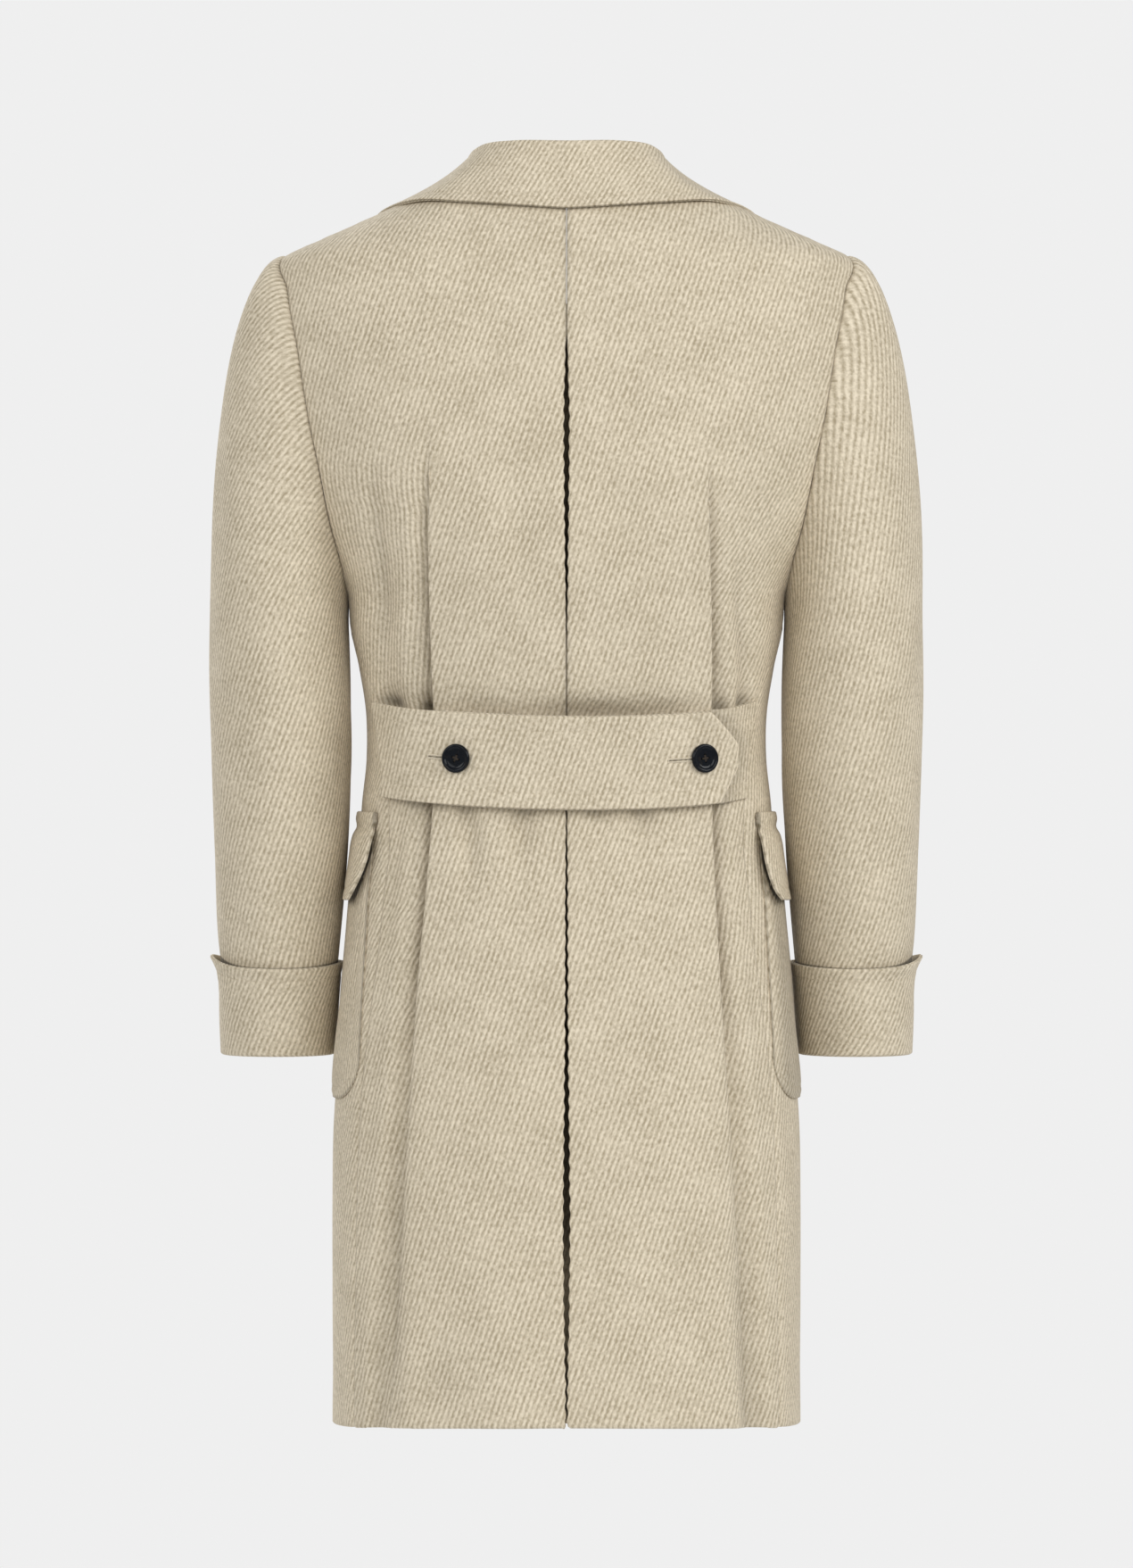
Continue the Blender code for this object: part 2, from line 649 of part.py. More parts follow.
def collar_section(at):
    """Outer and inner points across the collar: up the stand, over the fold and down the fall."""
    side = math.copysign(1.0, at)
    row = CollarSection(abs(at), *[column(COLLAR, name, abs(at)) for name in CollarSection._fields[1:]])
    mirror = np.array([side, 1.0, 1.0])
    fold = mirror * np.array([row.fold_x, row.fold_y, row.fold_z])
    foot = mirror * np.array([row.foot_x, row.foot_y, row.foot_z])
    edge_s = side * along_at_turn(row.edge_z, row.edge_turn)
    edge = lifted(row.edge_z, edge_s, LAY_GAP + DOUBLE_CLOTH)
    out = (edge - foot) * np.array([1.0, 1.0, 0.0])
    out /= np.linalg.norm(out)
    up = np.array([0.0, 0.0, 1.0])
    centre = fold - COLLAR_ROLL * up
    outer, inner = [], []
    inside_roll = COLLAR_ROLL - DOUBLE_CLOTH
    for angle in COLLAR_FOLD_TURNS:
        way = math.cos(math.radians(angle)) * out + math.sin(math.radians(angle)) * up
        outer.append(centre + COLLAR_ROLL * way)
        inner.append(centre + inside_roll * way)
    over_fold, under_fold = outer[-1], inner[-1]
    under = lifted(row.edge_z, edge_s, LAY_GAP)
    hollow = COLLAR_HOLLOW * math.exp(-(((abs(at) - COLLAR_HOLLOW_AT) / COLLAR_HOLLOW_WIDTH) ** 2))
    for share in COLLAR_FALL_ROWS:
        bulge = (COLLAR_BULGE + hollow) * math.sin(math.pi * share) * (out + up)
        outer.append(over_fold + (edge - over_fold) * share + bulge)
        inner.append(under_fold + (under - under_fold) * share + bulge)
    stand = [foot, foot + (outer[0] - foot) * 0.5]
    behind = [point + DOUBLE_CLOTH * out for point in stand]
    return stand + outer, behind + inner


def collar(cloth):
    """The collar: a stand round the neck and a broad fall over the shoulders."""
    sections = [collar_section(at) for at in np.linspace(-1.0, 1.0, COLLAR_COLUMNS + 1)]
    outer = np.array([section[0] for section in sections]).transpose(1, 0, 2)
    inner = np.array([section[1] for section in sections]).transpose(1, 0, 2)
    return wall("collar", outer, inner, cloth)


def belt_lift(z, s):
    """How far the belt stands above the body: over the raised middle, and down to the side seams."""
    far = panel_edge(z, -ARMHOLE_BACK)
    near = along_at_x(z, column(PLEAT, "x", z))
    return BELT_LIFT + (LAY_GAP - BELT_LIFT) * smoothstep(near, far, abs(s))


def on_belt(s, up, lift):
    """Point above the belt, by its distance round from centre back and its height share."""
    z = column(BELT_LINE, "z", s) + BELT_TOP * (2 * up - 1)
    return lifted(z, s, belt_lift(z, s) + lift)


def belt_part(name, ends, lift, cloth):
    """A belt piece that runs from one end to the other in each of its rows."""
    outer, inner = [], []
    for up, (start, end) in zip(BELT_ROWS, ends):
        places = np.linspace(start, end, BELT_COLUMNS)
        outer.append([on_belt(s, up, lift + DOUBLE_CLOTH) for s in places])
        inner.append([on_belt(s, up, lift) for s in places])
    return wall(name, np.array(outer), np.array(inner), cloth)


def belt_seam(up, side):
    """Distance round to the side seam where a belt piece is sewn in."""
    z = column(BELT_LINE, "z", side * BELT_SEAM_X) + BELT_TOP * (2 * up - 1)
    return side * (panel_edge(z, -ARMHOLE_BACK) - SEAM_GAP)


def belt(cloth):
    """The half belt: a right piece below, and a left piece that buttons over it with a blunt point."""
    under_ends = [(BELT_UNDER_END, belt_seam(up, RIGHT)) for up in BELT_ROWS]
    over_ends = [(belt_seam(up, LEFT), straight(BELT_POINT, "reach", up)) for up in BELT_ROWS]
    over = DOUBLE_CLOTH + BELT_OVER_CLEAR
    belt_part("belt_under", under_ends, 0.0, cloth)
    belt_part("belt_over", over_ends, over, cloth)
    return over + DOUBLE_CLOTH


def side_point(side, z, place, lift):
    """Point above a front, by its distance round from the body's widest point, forward positive."""
    s = along_at_turn(z, 90.0) + place
    past = s - half_round(z)
    return lifted(z, side * s, front_lift(side, z, past) + lift)


def pocket_lean(z, place):
    """How far back the pocket's slanting rear edge carries a place on it."""
    return POCKET_SLANT * (POCKET_TOP_Z - z) * (POCKET_FRONT - place) / (POCKET_FRONT - POCKET_REAR)


def pocket(side, name, cloth):
    """A patch pocket with round lower corners, lying on the front near the side."""
    corner = POCKET_CORNER
    ends = corner * (1 - np.cos(np.radians(POCKET_CORNER_TURNS)))
    middle = np.linspace(POCKET_REAR + corner, POCKET_FRONT - corner, POCKET_MIDDLE_COLUMNS)[1:-1]
    places = np.concatenate([POCKET_REAR + ends, middle, POCKET_FRONT - ends[::-1]])
    outer, inner = [], []
    for share in np.linspace(0.0, 1.0, POCKET_ROWS):
        upper, lower = [], []
        for place in places:
            inset = max(0.0, corner - min(place - POCKET_REAR, POCKET_FRONT - place))
            low = POCKET_BOTTOM_Z + corner - math.sqrt(max(0.0, corner**2 - inset**2))
            z = low + (POCKET_TOP_Z - low) * share
            leaned = place - pocket_lean(z, place)
            lower.append(side_point(side, z, leaned, LAY_GAP))
            upper.append(side_point(side, z, leaned, LAY_GAP + CLOTH))
        outer.append(upper)
        inner.append(lower)
    return wall(name, np.array(outer), np.array(inner), cloth)


def flap(side, name, cloth):
    """A pocket flap, sewn on along its top and standing off the pocket below."""
    outer, inner = [], []
    for share in FLAP_ROWS:
        z = FLAP_TOP_Z - FLAP_HEIGHT * share
        rear = POCKET_REAR - FLAP_REAR_OVERHANG - FLAP_REAR_SLANT * share
        rear += FLAP_REAR_CUT * share**FLAP_REAR_POWER
        ahead = POCKET_FRONT + FLAP_FRONT_OVERHANG - FLAP_FRONT_CUT * share**FLAP_FRONT_POWER
        upper, lower = [], []
        for place in np.linspace(rear, ahead, FLAP_COLUMNS):
            stand_off = FLAP_STAND_OFF * smoothstep(0.0, FLAP_BEND, share)
            stand_off += FLAP_REAR_FLARE * share * smoothstep(0.0, rear, place)
            lower.append(side_point(side, z, place, LAY_GAP + stand_off))
            upper.append(side_point(side, z, place, LAY_GAP + stand_off + DOUBLE_CLOTH))
        outer.append(upper)
        inner.append(lower)
    return wall(name, np.array(outer), np.array(inner), cloth)


def button(name, foot, normal, radius, horn):
    """A turned button that stands on a point, facing along a normal."""
    bm = bmesh.new()
    profile = [bm.verts.new((row.radius * radius, 0.0, row.height * radius)) for row in BUTTON]
    edges = [bm.edges.new(pair) for pair in zip(profile, profile[1:])]
    turn = {"axis": (0, 0, 1), "cent": (0, 0, 0), "angle": 2 * math.pi, "steps": BUTTON_SIDES}
    bmesh.ops.spin(bm, geom=profile + edges, use_merge=True, **turn)
    bmesh.ops.remove_doubles(bm, verts=bm.verts[:], dist=1e-6)
    bmesh.ops.recalc_face_normals(bm, faces=bm.faces[:])
    made = add_object(name, bm, horn)
    made.rotation_mode = "QUATERNION"
    made.rotation_quaternion = Vector(normal).to_track_quat("Z", "Y")
    made.location = foot
    return made


def belt_buttons(height, horn):
    """The two buttons of the half belt."""
    for name, s in BELT_BUTTONS.items():
        spot, up = on_belt(s, 0.5, height + BUTTON_GAP), on_belt(s, 0.5, height + CLOTH)
        button(name, spot, up - spot, BUTTON_RADIUS, horn)


def front_buttons(horn):
    """Two rows of buttons down the double-breasted front, on the left front."""
    for row, z in enumerate(FRONT_BUTTON_Z, start=1):
        for word, past in (("right", FRONT_BUTTON_X), ("left", -FRONT_BUTTON_X)):
            spot, up = on_front(LEFT, z, past, BUTTON_GAP), on_front(LEFT, z, past, CLOTH)
            button(f"front_button_{word}_{row}", spot, up - spot, FRONT_BUTTON_RADIUS, horn)


def main():
    """Makes every piece of the coat."""
    clear_scene()
    cloth = finish("camel_cloth", *CAMEL_CLOTH)
    horn = finish("dark_horn", *DARK_HORN)
    pleat_underlay(cloth)
    for side, word in ((LEFT, "left"), (RIGHT, "right")):
        back_panel(side, f"back_{word}", cloth)
        front_panel(side, f"front_{word}", cloth)
        lapel(side, f"lapel_{word}", cloth)
        sleeve(side, f"sleeve_{word}", cloth)
        cuff(side, f"cuff_{word}", cloth)
        pocket(side, f"pocket_{word}", cloth)
        flap(side, f"flap_{word}", cloth)
    collar(cloth)
    belt_top = belt(cloth)
    belt_buttons(belt_top, horn)
    front_buttons(horn)


main()
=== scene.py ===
"""Dresses the polo coat: thin cloth shells with their folds and sewing, horn buttons and a plain studio."""

import logging
import math
from dataclasses import dataclass, field, replace
from enum import Enum

import bmesh
import bpy
import numpy as np
from mathutils import Matrix, Vector


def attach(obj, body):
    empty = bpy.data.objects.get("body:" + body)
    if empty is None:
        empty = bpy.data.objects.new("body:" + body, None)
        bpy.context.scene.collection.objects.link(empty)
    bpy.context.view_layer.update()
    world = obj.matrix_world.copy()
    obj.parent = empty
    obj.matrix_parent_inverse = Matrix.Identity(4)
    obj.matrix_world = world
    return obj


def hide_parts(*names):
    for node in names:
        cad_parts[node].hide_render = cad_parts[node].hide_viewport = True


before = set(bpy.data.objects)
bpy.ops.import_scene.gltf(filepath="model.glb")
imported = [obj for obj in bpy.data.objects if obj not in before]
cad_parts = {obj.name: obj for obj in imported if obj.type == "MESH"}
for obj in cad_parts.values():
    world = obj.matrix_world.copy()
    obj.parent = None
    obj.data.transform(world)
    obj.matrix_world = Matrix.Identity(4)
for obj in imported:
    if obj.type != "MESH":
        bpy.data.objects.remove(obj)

Array = np.ndarray
Colour = tuple[float, float, float, float]
Line = tuple[Array, Array]
Sizes = tuple[float, ...]
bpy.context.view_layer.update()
BODY = "root"
WEAVE = "weave"
# Vertex attribute of painted shading on the cloth: painted highlight where positive, painted shade where
# negative
PAINTED_SHADING = "painted_shading"
LAY_GAP = 0.0009
BUTTON_GAP = 0.0004
BUTTON_NUDGE = 0.0025
SLIT_LIFT = 0.0003
HEM_FADE = 0.006
LIGHT_DIP = (0.0004, 0.0016)
BELT_DIP = (0.0005, 0.0017)
SEAM_PUFF = 0.001
SEAM_ROLL_WIDTH = 0.0035
SEAM_PUCKER = 0.00025
BMesh = bmesh.types.BMesh
BMVert = bmesh.types.BMVert
Material = bpy.types.Material
Socket = bpy.types.NodeSocket
log = logging.getLogger("polo_coat")


class Side(Enum):
    """Which side of the wearer a piece is on."""

    LEFT = -1
    RIGHT = 1

    def named(self, piece: str) -> str:
        """The name of a piece on this side."""
        return f"{piece}_{self.name.lower()}"


class Held(Enum):
    """How a sheet of cloth is held."""

    HUNG = "hung"
    LAID = "laid"
    FOLDED = "folded"
    STRETCHED = "stretched"


class Slot(Enum):
    """The record's material slots."""

    CLOTH = "coat_cloth"
    HORN = "horn_button"


class Table:
    """A short table of sizes with named columns, read between its rows."""

    def __init__(self, names: str, *rows: Sizes) -> None:
        """Keeps the columns' names and the rows; to be read at places, the first column has to rise."""
        self.names = names.split()
        self.rows = np.array(rows, dtype=float)

    def column(self, name: str) -> Array:
        """The values of one column."""
        return self.rows[:, self.names.index(name)]

    def straight(self, name: str, at: Array | float) -> Array:
        """Values of a column at places in the first one, on straight lines between the rows."""
        return np.interp(at, self.rows[:, 0], self.column(name))

    def smooth(self, name: str, at: Array | float) -> Array:
        """Reads a column on a smooth cubic through the rows.

        Args:
            name: The column.
            at: Places in the first column.

        Returns:
            The values there.
        """
        places, values = self.rows[:, 0], self.column(name)
        slopes = np.gradient(values, places)
        i = np.clip(np.searchsorted(places, at) - 1, 0, len(places) - 2)
        span = places[i + 1] - places[i]
        t = np.clip((at - places[i]) / span, 0.0, 1.0)
        start = t * (1 - t) ** 2 * span * slopes[i]
        end = t * t * (t - 1) * span * slopes[i + 1]
        return values[i] + (values[i + 1] - values[i]) * t * t * (3 - 2 * t) + start + end


# Level sections of the body, from the hem up
TORSO = Table(
    "z half_width back front squareness",
    (-1.06, 0.196, 0.146, 0.131, 2.35),
    (-0.93, 0.1965, 0.143, 0.129, 2.35),
    (-0.821, 0.1962, 0.139, 0.126, 2.35),
    (-0.746, 0.1928, 0.135, 0.123, 2.35),
    (-0.69, 0.1877, 0.131, 0.12, 2.35),
    (-0.634, 0.182, 0.126, 0.117, 2.35),
    (-0.596, 0.1785, 0.122, 0.114, 2.35),
    (-0.559, 0.174, 0.118, 0.112, 2.35),
    (-0.521, 0.1715, 0.114, 0.11, 2.35),
    (-0.484, 0.168, 0.112, 0.109, 2.35),
    (-0.446, 0.1683, 0.114, 0.111, 2.35),
    (-0.409, 0.1738, 0.119, 0.114, 2.35),
    (-0.375, 0.1803, 0.124, 0.117, 2.4),
    (-0.345, 0.1835, 0.128, 0.119, 2.4),
    (-0.326, 0.1905, 0.13, 0.12, 2.4),
    (-0.289, 0.2085, 0.132, 0.121, 2.4),
    (-0.244, 0.226, 0.132, 0.12, 2.4),
    (-0.199, 0.24, 0.13, 0.116, 2.4),
    (-0.146, 0.2485, 0.123, 0.107, 2.35),
    (-0.094, 0.2462, 0.112, 0.093, 2.3),
    (-0.062, 0.2345, 0.103, 0.082, 2.2),
    (-0.05, 0.2085, 0.098, 0.074, 2.1),
    (-0.035, 0.1748, 0.09, 0.065, 2.0),
    (-0.02, 0.142, 0.082, 0.055, 2.0),
    (-0.008, 0.115, 0.075, 0.046, 2.0),
    (0.004, 0.09, 0.068, 0.037, 2.0),
)

# Where the side seam runs, in degrees round from the centre back
SIDE_SEAM = Table(
    "z turn",
    (-1.06, 62.0),
    (-0.76, 59.0),
    (-0.64, 56.0),
    (-0.56, 55.0),
    (-0.5, 58.0),
    (-0.44, 65.0),
    (-0.406, 74.0),
    (-0.375, 86.0),
    (-0.345, 90.0),
)

# Half the opening of the centre pleat, and how open it looks
SLIT = Table(
    "z half_gap open",
    (-1.06, 0.0002, 1.0),
    (-1.0, 0.0004, 1.0),
    (-0.95, 0.0015, 1.0),
    (-0.87, 0.0023, 1.0),
    (-0.78, 0.0014, 1.0),
    (-0.7, 0.0006, 1.0),
    (-0.6, 0.0005, 0.8),
    (-0.53, 0.0002, 0.5),
    (-0.44, 0.0002, 0.0),
    (-0.39, 0.0002, 0.2),
    (-0.33, 0.0007, 0.8),
    (-0.26, 0.0014, 1.0),
    (-0.2, 0.0018, 1.0),
    (-0.16, 0.0009, 0.8),
    (-0.142, 0.0006, 0.3),
    (-0.135, 0.0002, 0.0),
    (0.004, 0.0002, 0.0),
)

# Side pleats: edge, rise of the middle, softness, sharpness of each fold, dip beside it, left edge's shift
PLEAT = Table(
    "z x rise softness fold_left fold_right dip left_in",
    (-1.06, 0.152, 0.004, 0.018, 0.0, 0.0, 0.0026, 0.005),
    (-0.895, 0.142, 0.005, 0.013, 0.0, 0.0, 0.0036, 0.005),
    (-0.745, 0.131, 0.006, 0.008, 0.0, 0.05, 0.005, 0.004),
    (-0.66, 0.125, 0.0065, 0.006, 0.4, 0.5, 0.0062, 0.0045),
    (-0.6, 0.121, 0.0068, 0.005, 0.85, 0.9, 0.006, 0.0065),
    (-0.52, 0.118, 0.007, 0.004, 1.0, 1.0, 0.006, 0.0095),
    (-0.44, 0.118, 0.007, 0.004, 1.0, 1.0, 0.0056, 0.0095),
    (-0.36, 0.118, 0.0055, 0.005, 1.0, 0.9, 0.004, 0.0065),
    (-0.28, 0.117, 0.003, 0.009, 0.7, 0.4, 0.0022, 0.0035),
    (-0.235, 0.116, 0.0012, 0.011, 0.2, 0.0, 0.0004, 0.0035),
    (-0.2, 0.116, 0.0, 0.013, 0.0, 0.0, 0.0, 0.0035),
    (0.004, 0.116, 0.0, 0.013, 0.0, 0.0, 0.0, 0.0035),
)

# Path of the cloth over a side pleat, sharply folded or softly rolled: metres out, share of the rise
PLEAT_PATH = Table(
    "knife_out knife_up soft_out soft_up",
    (-0.012, 1.0, -0.012, 1.0),
    (-0.007, 1.0, -0.0095, 0.99),
    (-0.004, 1.0, -0.007, 0.96),
    (-0.0022, 1.0, -0.005, 0.9),
    (-0.001, 0.97, -0.0035, 0.82),
    (-0.0003, 0.86, -0.0022, 0.73),
    (0.0, 0.72, -0.001, 0.62),
    (-0.0003, 0.58, 0.0, 0.52),
    (-0.0012, 0.47, 0.001, 0.42),
    (-0.003, 0.43, 0.002, 0.33),
    (-0.0065, 0.43, 0.0032, 0.24),
    (-0.0082, 0.36, 0.0045, 0.17),
    (-0.0088, 0.2, 0.006, 0.1),
    (-0.008, 0.04, 0.0075, 0.06),
    (-0.006, 0.0, 0.009, 0.03),
    (-0.002, 0.0, 0.011, 0.01),
    (0.0005, 0.0, 0.012, 0.0),
    (0.002, 0.0, 0.0128, 0.0),
    (0.0035, 0.0, 0.0136, 0.0),
    (0.005, 0.0, 0.0144, 0.0),
    (0.007, 0.0, 0.0151, 0.0),
    (0.0095, 0.0, 0.0157, 0.0),
    (0.0125, 0.0, 0.0161, 0.0),
    (0.016, 0.0, 0.0165, 0.0),
)

# Sections of the sleeve, from the wrist up
SLEEVE = Table(
    "z x y half_width half_depth",
    (-0.7335, 0.2438, 0.036, 0.0448, 0.058),
    (-0.7, 0.2432, 0.031, 0.0464, 0.0605),
    (-0.672, 0.2422, 0.027, 0.0474, 0.0625),
    (-0.634, 0.2424, 0.022, 0.0512, 0.066),
    (-0.559, 0.2404, 0.011, 0.056, 0.071),
    (-0.484, 0.2398, 0.004, 0.0588, 0.0755),
    (-0.42, 0.2405, -0.001, 0.0592, 0.078),
    (-0.36, 0.2414, -0.003, 0.058, 0.08),
)

# Pocket flaps: how much of the rear corner is cut off and rounded, and how much painted shade each pocket
# gets
FLAP_CUT = {Side.LEFT: 0.0231, Side.RIGHT: 0.0115}
FLAP_ROUND = {Side.LEFT: 0.0, Side.RIGHT: 0.008}
POCKET_SHADE = {Side.LEFT: 0.05, Side.RIGHT: 0.3}

# Collar: the fold round the neck, the stand's foot, and the edge that lies on the shoulders
COLLAR = Table(
    "at fold_x fold_y fold_z foot_x foot_y foot_z edge_turn edge_z",
    (0.0, 0.0, -0.073, 0.0288, 0.0, -0.067, 0.0028, 0.0, -0.03),
    (0.25, 0.044, -0.063, 0.0298, 0.05, -0.056, 0.0028, 33.7, -0.024),
    (0.45, 0.069, -0.038, 0.0286, 0.078, -0.033, 0.0028, 62.7, -0.0206),
    (0.6, 0.079, -0.006, 0.0228, 0.089, -0.002, 0.0028, 90.0, -0.0231),
    (0.8, 0.075, 0.037, 0.003, 0.074, 0.035, -0.001, 128.0, -0.045),
    (1.0, 0.054, 0.083, -0.044, 0.0535, 0.078, -0.049, 150.0, -0.058),
)

# Lapel width along its roll line, from the break up to the gorge
LAPEL = Table(
    "at width",
    (0.0, 0.006),
    (0.25, 0.046),
    (0.5, 0.078),
    (0.75, 0.098),
    (1.0, 0.108),
)

# Where the upper belt ends, from its lower edge up
BELT_POINT = Table(
    "up reach",
    (0.0, 0.123),
    (0.35, 0.1415),
    (0.6, 0.1415),
    (1.0, 0.1155),
)

# The belt's middle line, by distance from the centre back
BELT_LINE = Table(
    "x z",
    (-0.18, -0.4745),
    (-0.11, -0.4822),
    (0.0, -0.4878),
    (0.11, -0.484),
    (0.18, -0.4745),
)

# Belt buttons: place round from the centre back, reach of the buttonhole and turn of the holes
BELT_BUTTONS = {Side.LEFT: (-0.0866, 0.023, 0.35), Side.RIGHT: (0.1087, 0.0285, 0.95)}
BELT_BUTTON_RADIUS = 0.012

# Front buttons: heights of the rows, distance from the centre front and reach of the buttonholes
FRONT_BUTTON_HEIGHTS = (-0.4, -0.505, -0.61)
FRONT_BUTTON_OUT = 0.058
FRONT_BUTTON_REACH = 0.019
FRONT_BUTTON_RADIUS = 0.014

# Turned profile of a button of unit radius: distance from the axis and height
BUTTON = Table(
    "radius height",
    (0.0, 0.0),
    (0.78, 0.0),
    (0.92, 0.04),
    (1.0, 0.13),
    (1.0, 0.21),
    (0.97, 0.28),
    (0.91, 0.33),
    (0.85, 0.338),
    (0.78, 0.315),
    (0.71, 0.265),
    (0.62, 0.235),
    (0.52, 0.225),
)


def ramp(low: float, high: float, value: Array | float) -> Array:
    """A soft rise from 0 at low to 1 at high, which may be below low."""
    t = np.clip((value - low) / (high - low), 0.0, 1.0)
    return t * t * (3 - 2 * t)


def hump(value: Array, width: float) -> Array:
    """A soft bell of height 1 about 0."""
    return np.exp(-((value / width) ** 2))


def stitch_dip(off: Array | float, deep: float = 0.0005, wide: float = 0.0018) -> Array:
    """How far a row of stitches presses the cloth in, by distance from the row."""
    return -deep * hump(off, wide)


def ripple(value: Array, pitch: float, seed: float) -> Array:
    """An uneven wave between about -1 and 1.

    Args:
        value: Places along the wave.
        pitch: Its main wavelength.
        seed: Shifts the wave, so that no two are alike.

    Returns:
        The wave at those places.
    """
    turn = 2 * math.pi * value / pitch
    slow = 0.45 * np.sin(0.37 * turn + 2.1 * seed)
    return 0.6 * np.sin(turn + seed + slow) + 0.4 * np.sin(1.63 * turn + 3.7 * seed)


def seam_puff(inside: Array, along: Array, seed: float) -> Array:
    """How the cloth puffs up beside a seam, and puckers a little.

    Args:
        inside: Distances in from the seam.
        along: Places along the seam.
        seed: Shifts the puckers.

    Returns:
        The height, which is nothing at the seam and far from it.
    """
    rolled = 1.0 - np.clip(1.0 - inside / SEAM_ROLL_WIDTH, 0.0, 1.0) ** 2
    faded = 1.0 - ramp(SEAM_ROLL_WIDTH, 0.03, inside)
    pucker = SEAM_PUCKER * ripple(along, 0.011, seed) * hump(inside - 0.005, 0.006)
    return SEAM_PUFF * rolled * faded + pucker * ramp(0.0, 0.003, inside)


def unit(ways: Array) -> Array:
    """Directions of length 1, or nothing where there is none."""
    return ways / np.maximum(np.linalg.norm(ways, axis=-1, keepdims=True), 1e-12)


def run_along(points: Array, axis: int) -> Array:
    """Distances along lines of points that run along an axis, from 0 at their start."""
    steps = np.linalg.norm(np.diff(points, axis=axis), axis=-1)
    return np.cumsum(np.insert(steps, 0, 0.0, axis=axis), axis=axis)


def read_along(along: Array, values: Array, at: float) -> Array:
    """Values at one distance along a line."""
    return np.array([np.interp(at, along, column) for column in values.T])


def grid_normals(points: Array, closed: bool) -> Array:
    """Unit normals of a grid of points, rows up and columns to the right as seen from outside.

    Args:
        points: The grid, rows by columns by 3.
        closed: Whether the last column joins the first one.

    Returns:
        The normals, in a grid of the same shape.
    """
    if closed:
        across = np.roll(points, -1, axis=1) - np.roll(points, 1, axis=1)
    else:
        across = np.gradient(points, axis=1)
    return unit(np.cross(across, np.gradient(points, axis=0)))


def weave_of(
    points: Array, closed: bool = False, zero: int = 0, rise_from: int | None = None, sign: int = 1
) -> Array:
    """Lays the weave on a grid of points: metres across and up, measured along the cloth.

    Args:
        points: The grid of the outer face.
        closed: Whether the last column joins the first one; the weave then has one more column.
        zero: The column that the weave starts across from.
        rise_from: The column whose length gives the height of every column, or none for their own.
        sign: -1 where the columns run to the left.

    Returns:
        The weave, rows by columns by 2.
    """
    if closed:
        points = np.hstack([points, points[:, :1]])
    across, up = run_along(points, 1), run_along(points, 0)
    if rise_from is not None:
        up = np.repeat(up[:, rise_from : rise_from + 1], points.shape[1], axis=1)
    return np.stack([sign * (across - across[:, zero : zero + 1]), up], axis=-1)


def turned_weave(weave: Array, degrees: float, grown: float = 1.0) -> Array:
    """The weave of a piece that is cut at another angle, turned by degrees and scaled."""
    c, s = math.cos(math.radians(degrees)) * grown, math.sin(math.radians(degrees)) * grown
    return weave @ np.array([[c, s], [-s, c]])


def add_object(name: str, bm: BMesh, finish: Material) -> bpy.types.Object:
    """Turns a bmesh into a smooth-shaded object at the origin.

    Args:
        name: The object's name.
        bm: The bmesh, which is freed.
        finish: Its material.

    Returns:
        The object.
    """
    mesh = bpy.data.meshes.new(name)
    bm.to_mesh(mesh)
    bm.free()
    mesh.shade_smooth()
    mesh.materials.append(finish)
    made = bpy.data.objects.new(name, mesh)
    bpy.context.scene.collection.objects.link(made)
    return made


@dataclass(frozen=True)
class Crease:
    """A soft trough or ridge along a line on the cloth, deepest half way and wandering a little."""

    start: tuple[float, float]
    end: tuple[float, float]
    rise: float
    width: float
    wander: float = 0.22

    def relief(self, across: Array, up: Array) -> Array:
        """Height of the crease.

        Args:
            across: Places across the cloth.
            up: Their heights.

        Returns:
            The height there, negative in a trough.
        """
        along = np.array(self.end) - np.array(self.start)
        length = float(np.hypot(*along))
        way = along / length
        out_across, out_up = across - self.start[0], up - self.start[1]
        t = (out_across * way[0] + out_up * way[1]) / length
        off = out_across * way[1] - out_up * way[0]
        off = off + self.wander * self.width * np.sin(9.0 * t + 60.0 * self.start[0])
        inside = np.sin(np.pi * np.clip(t, 0.0, 1.0)) ** 2
        return self.rise * inside * hump(off, self.width)


def creases(*rows: Sizes) -> tuple[Crease, ...]:
    """Creases from rows of numbers: both ends, the rise, the width and, where it isn't usual, the wander."""
    return tuple(Crease(row[:2], row[2:4], *row[4:]) for row in rows)


def all_relief(parts: tuple[Crease, ...], across: Array, up: Array) -> Array:
    """Sum of several creases."""
    return sum((crease.relief(across, up) for crease in parts), np.zeros(np.broadcast(across, up).shape))


# Folds of both halves of the back, by distance from the middle and height
BACK_FOLDS = creases(
    (0.194, -1.56, 0.12, -0.54, -0.005, 0.01, 0.0),
    (0.08, -1.7, 0.05, -0.6, 0.003, 0.036, 0.0),
)
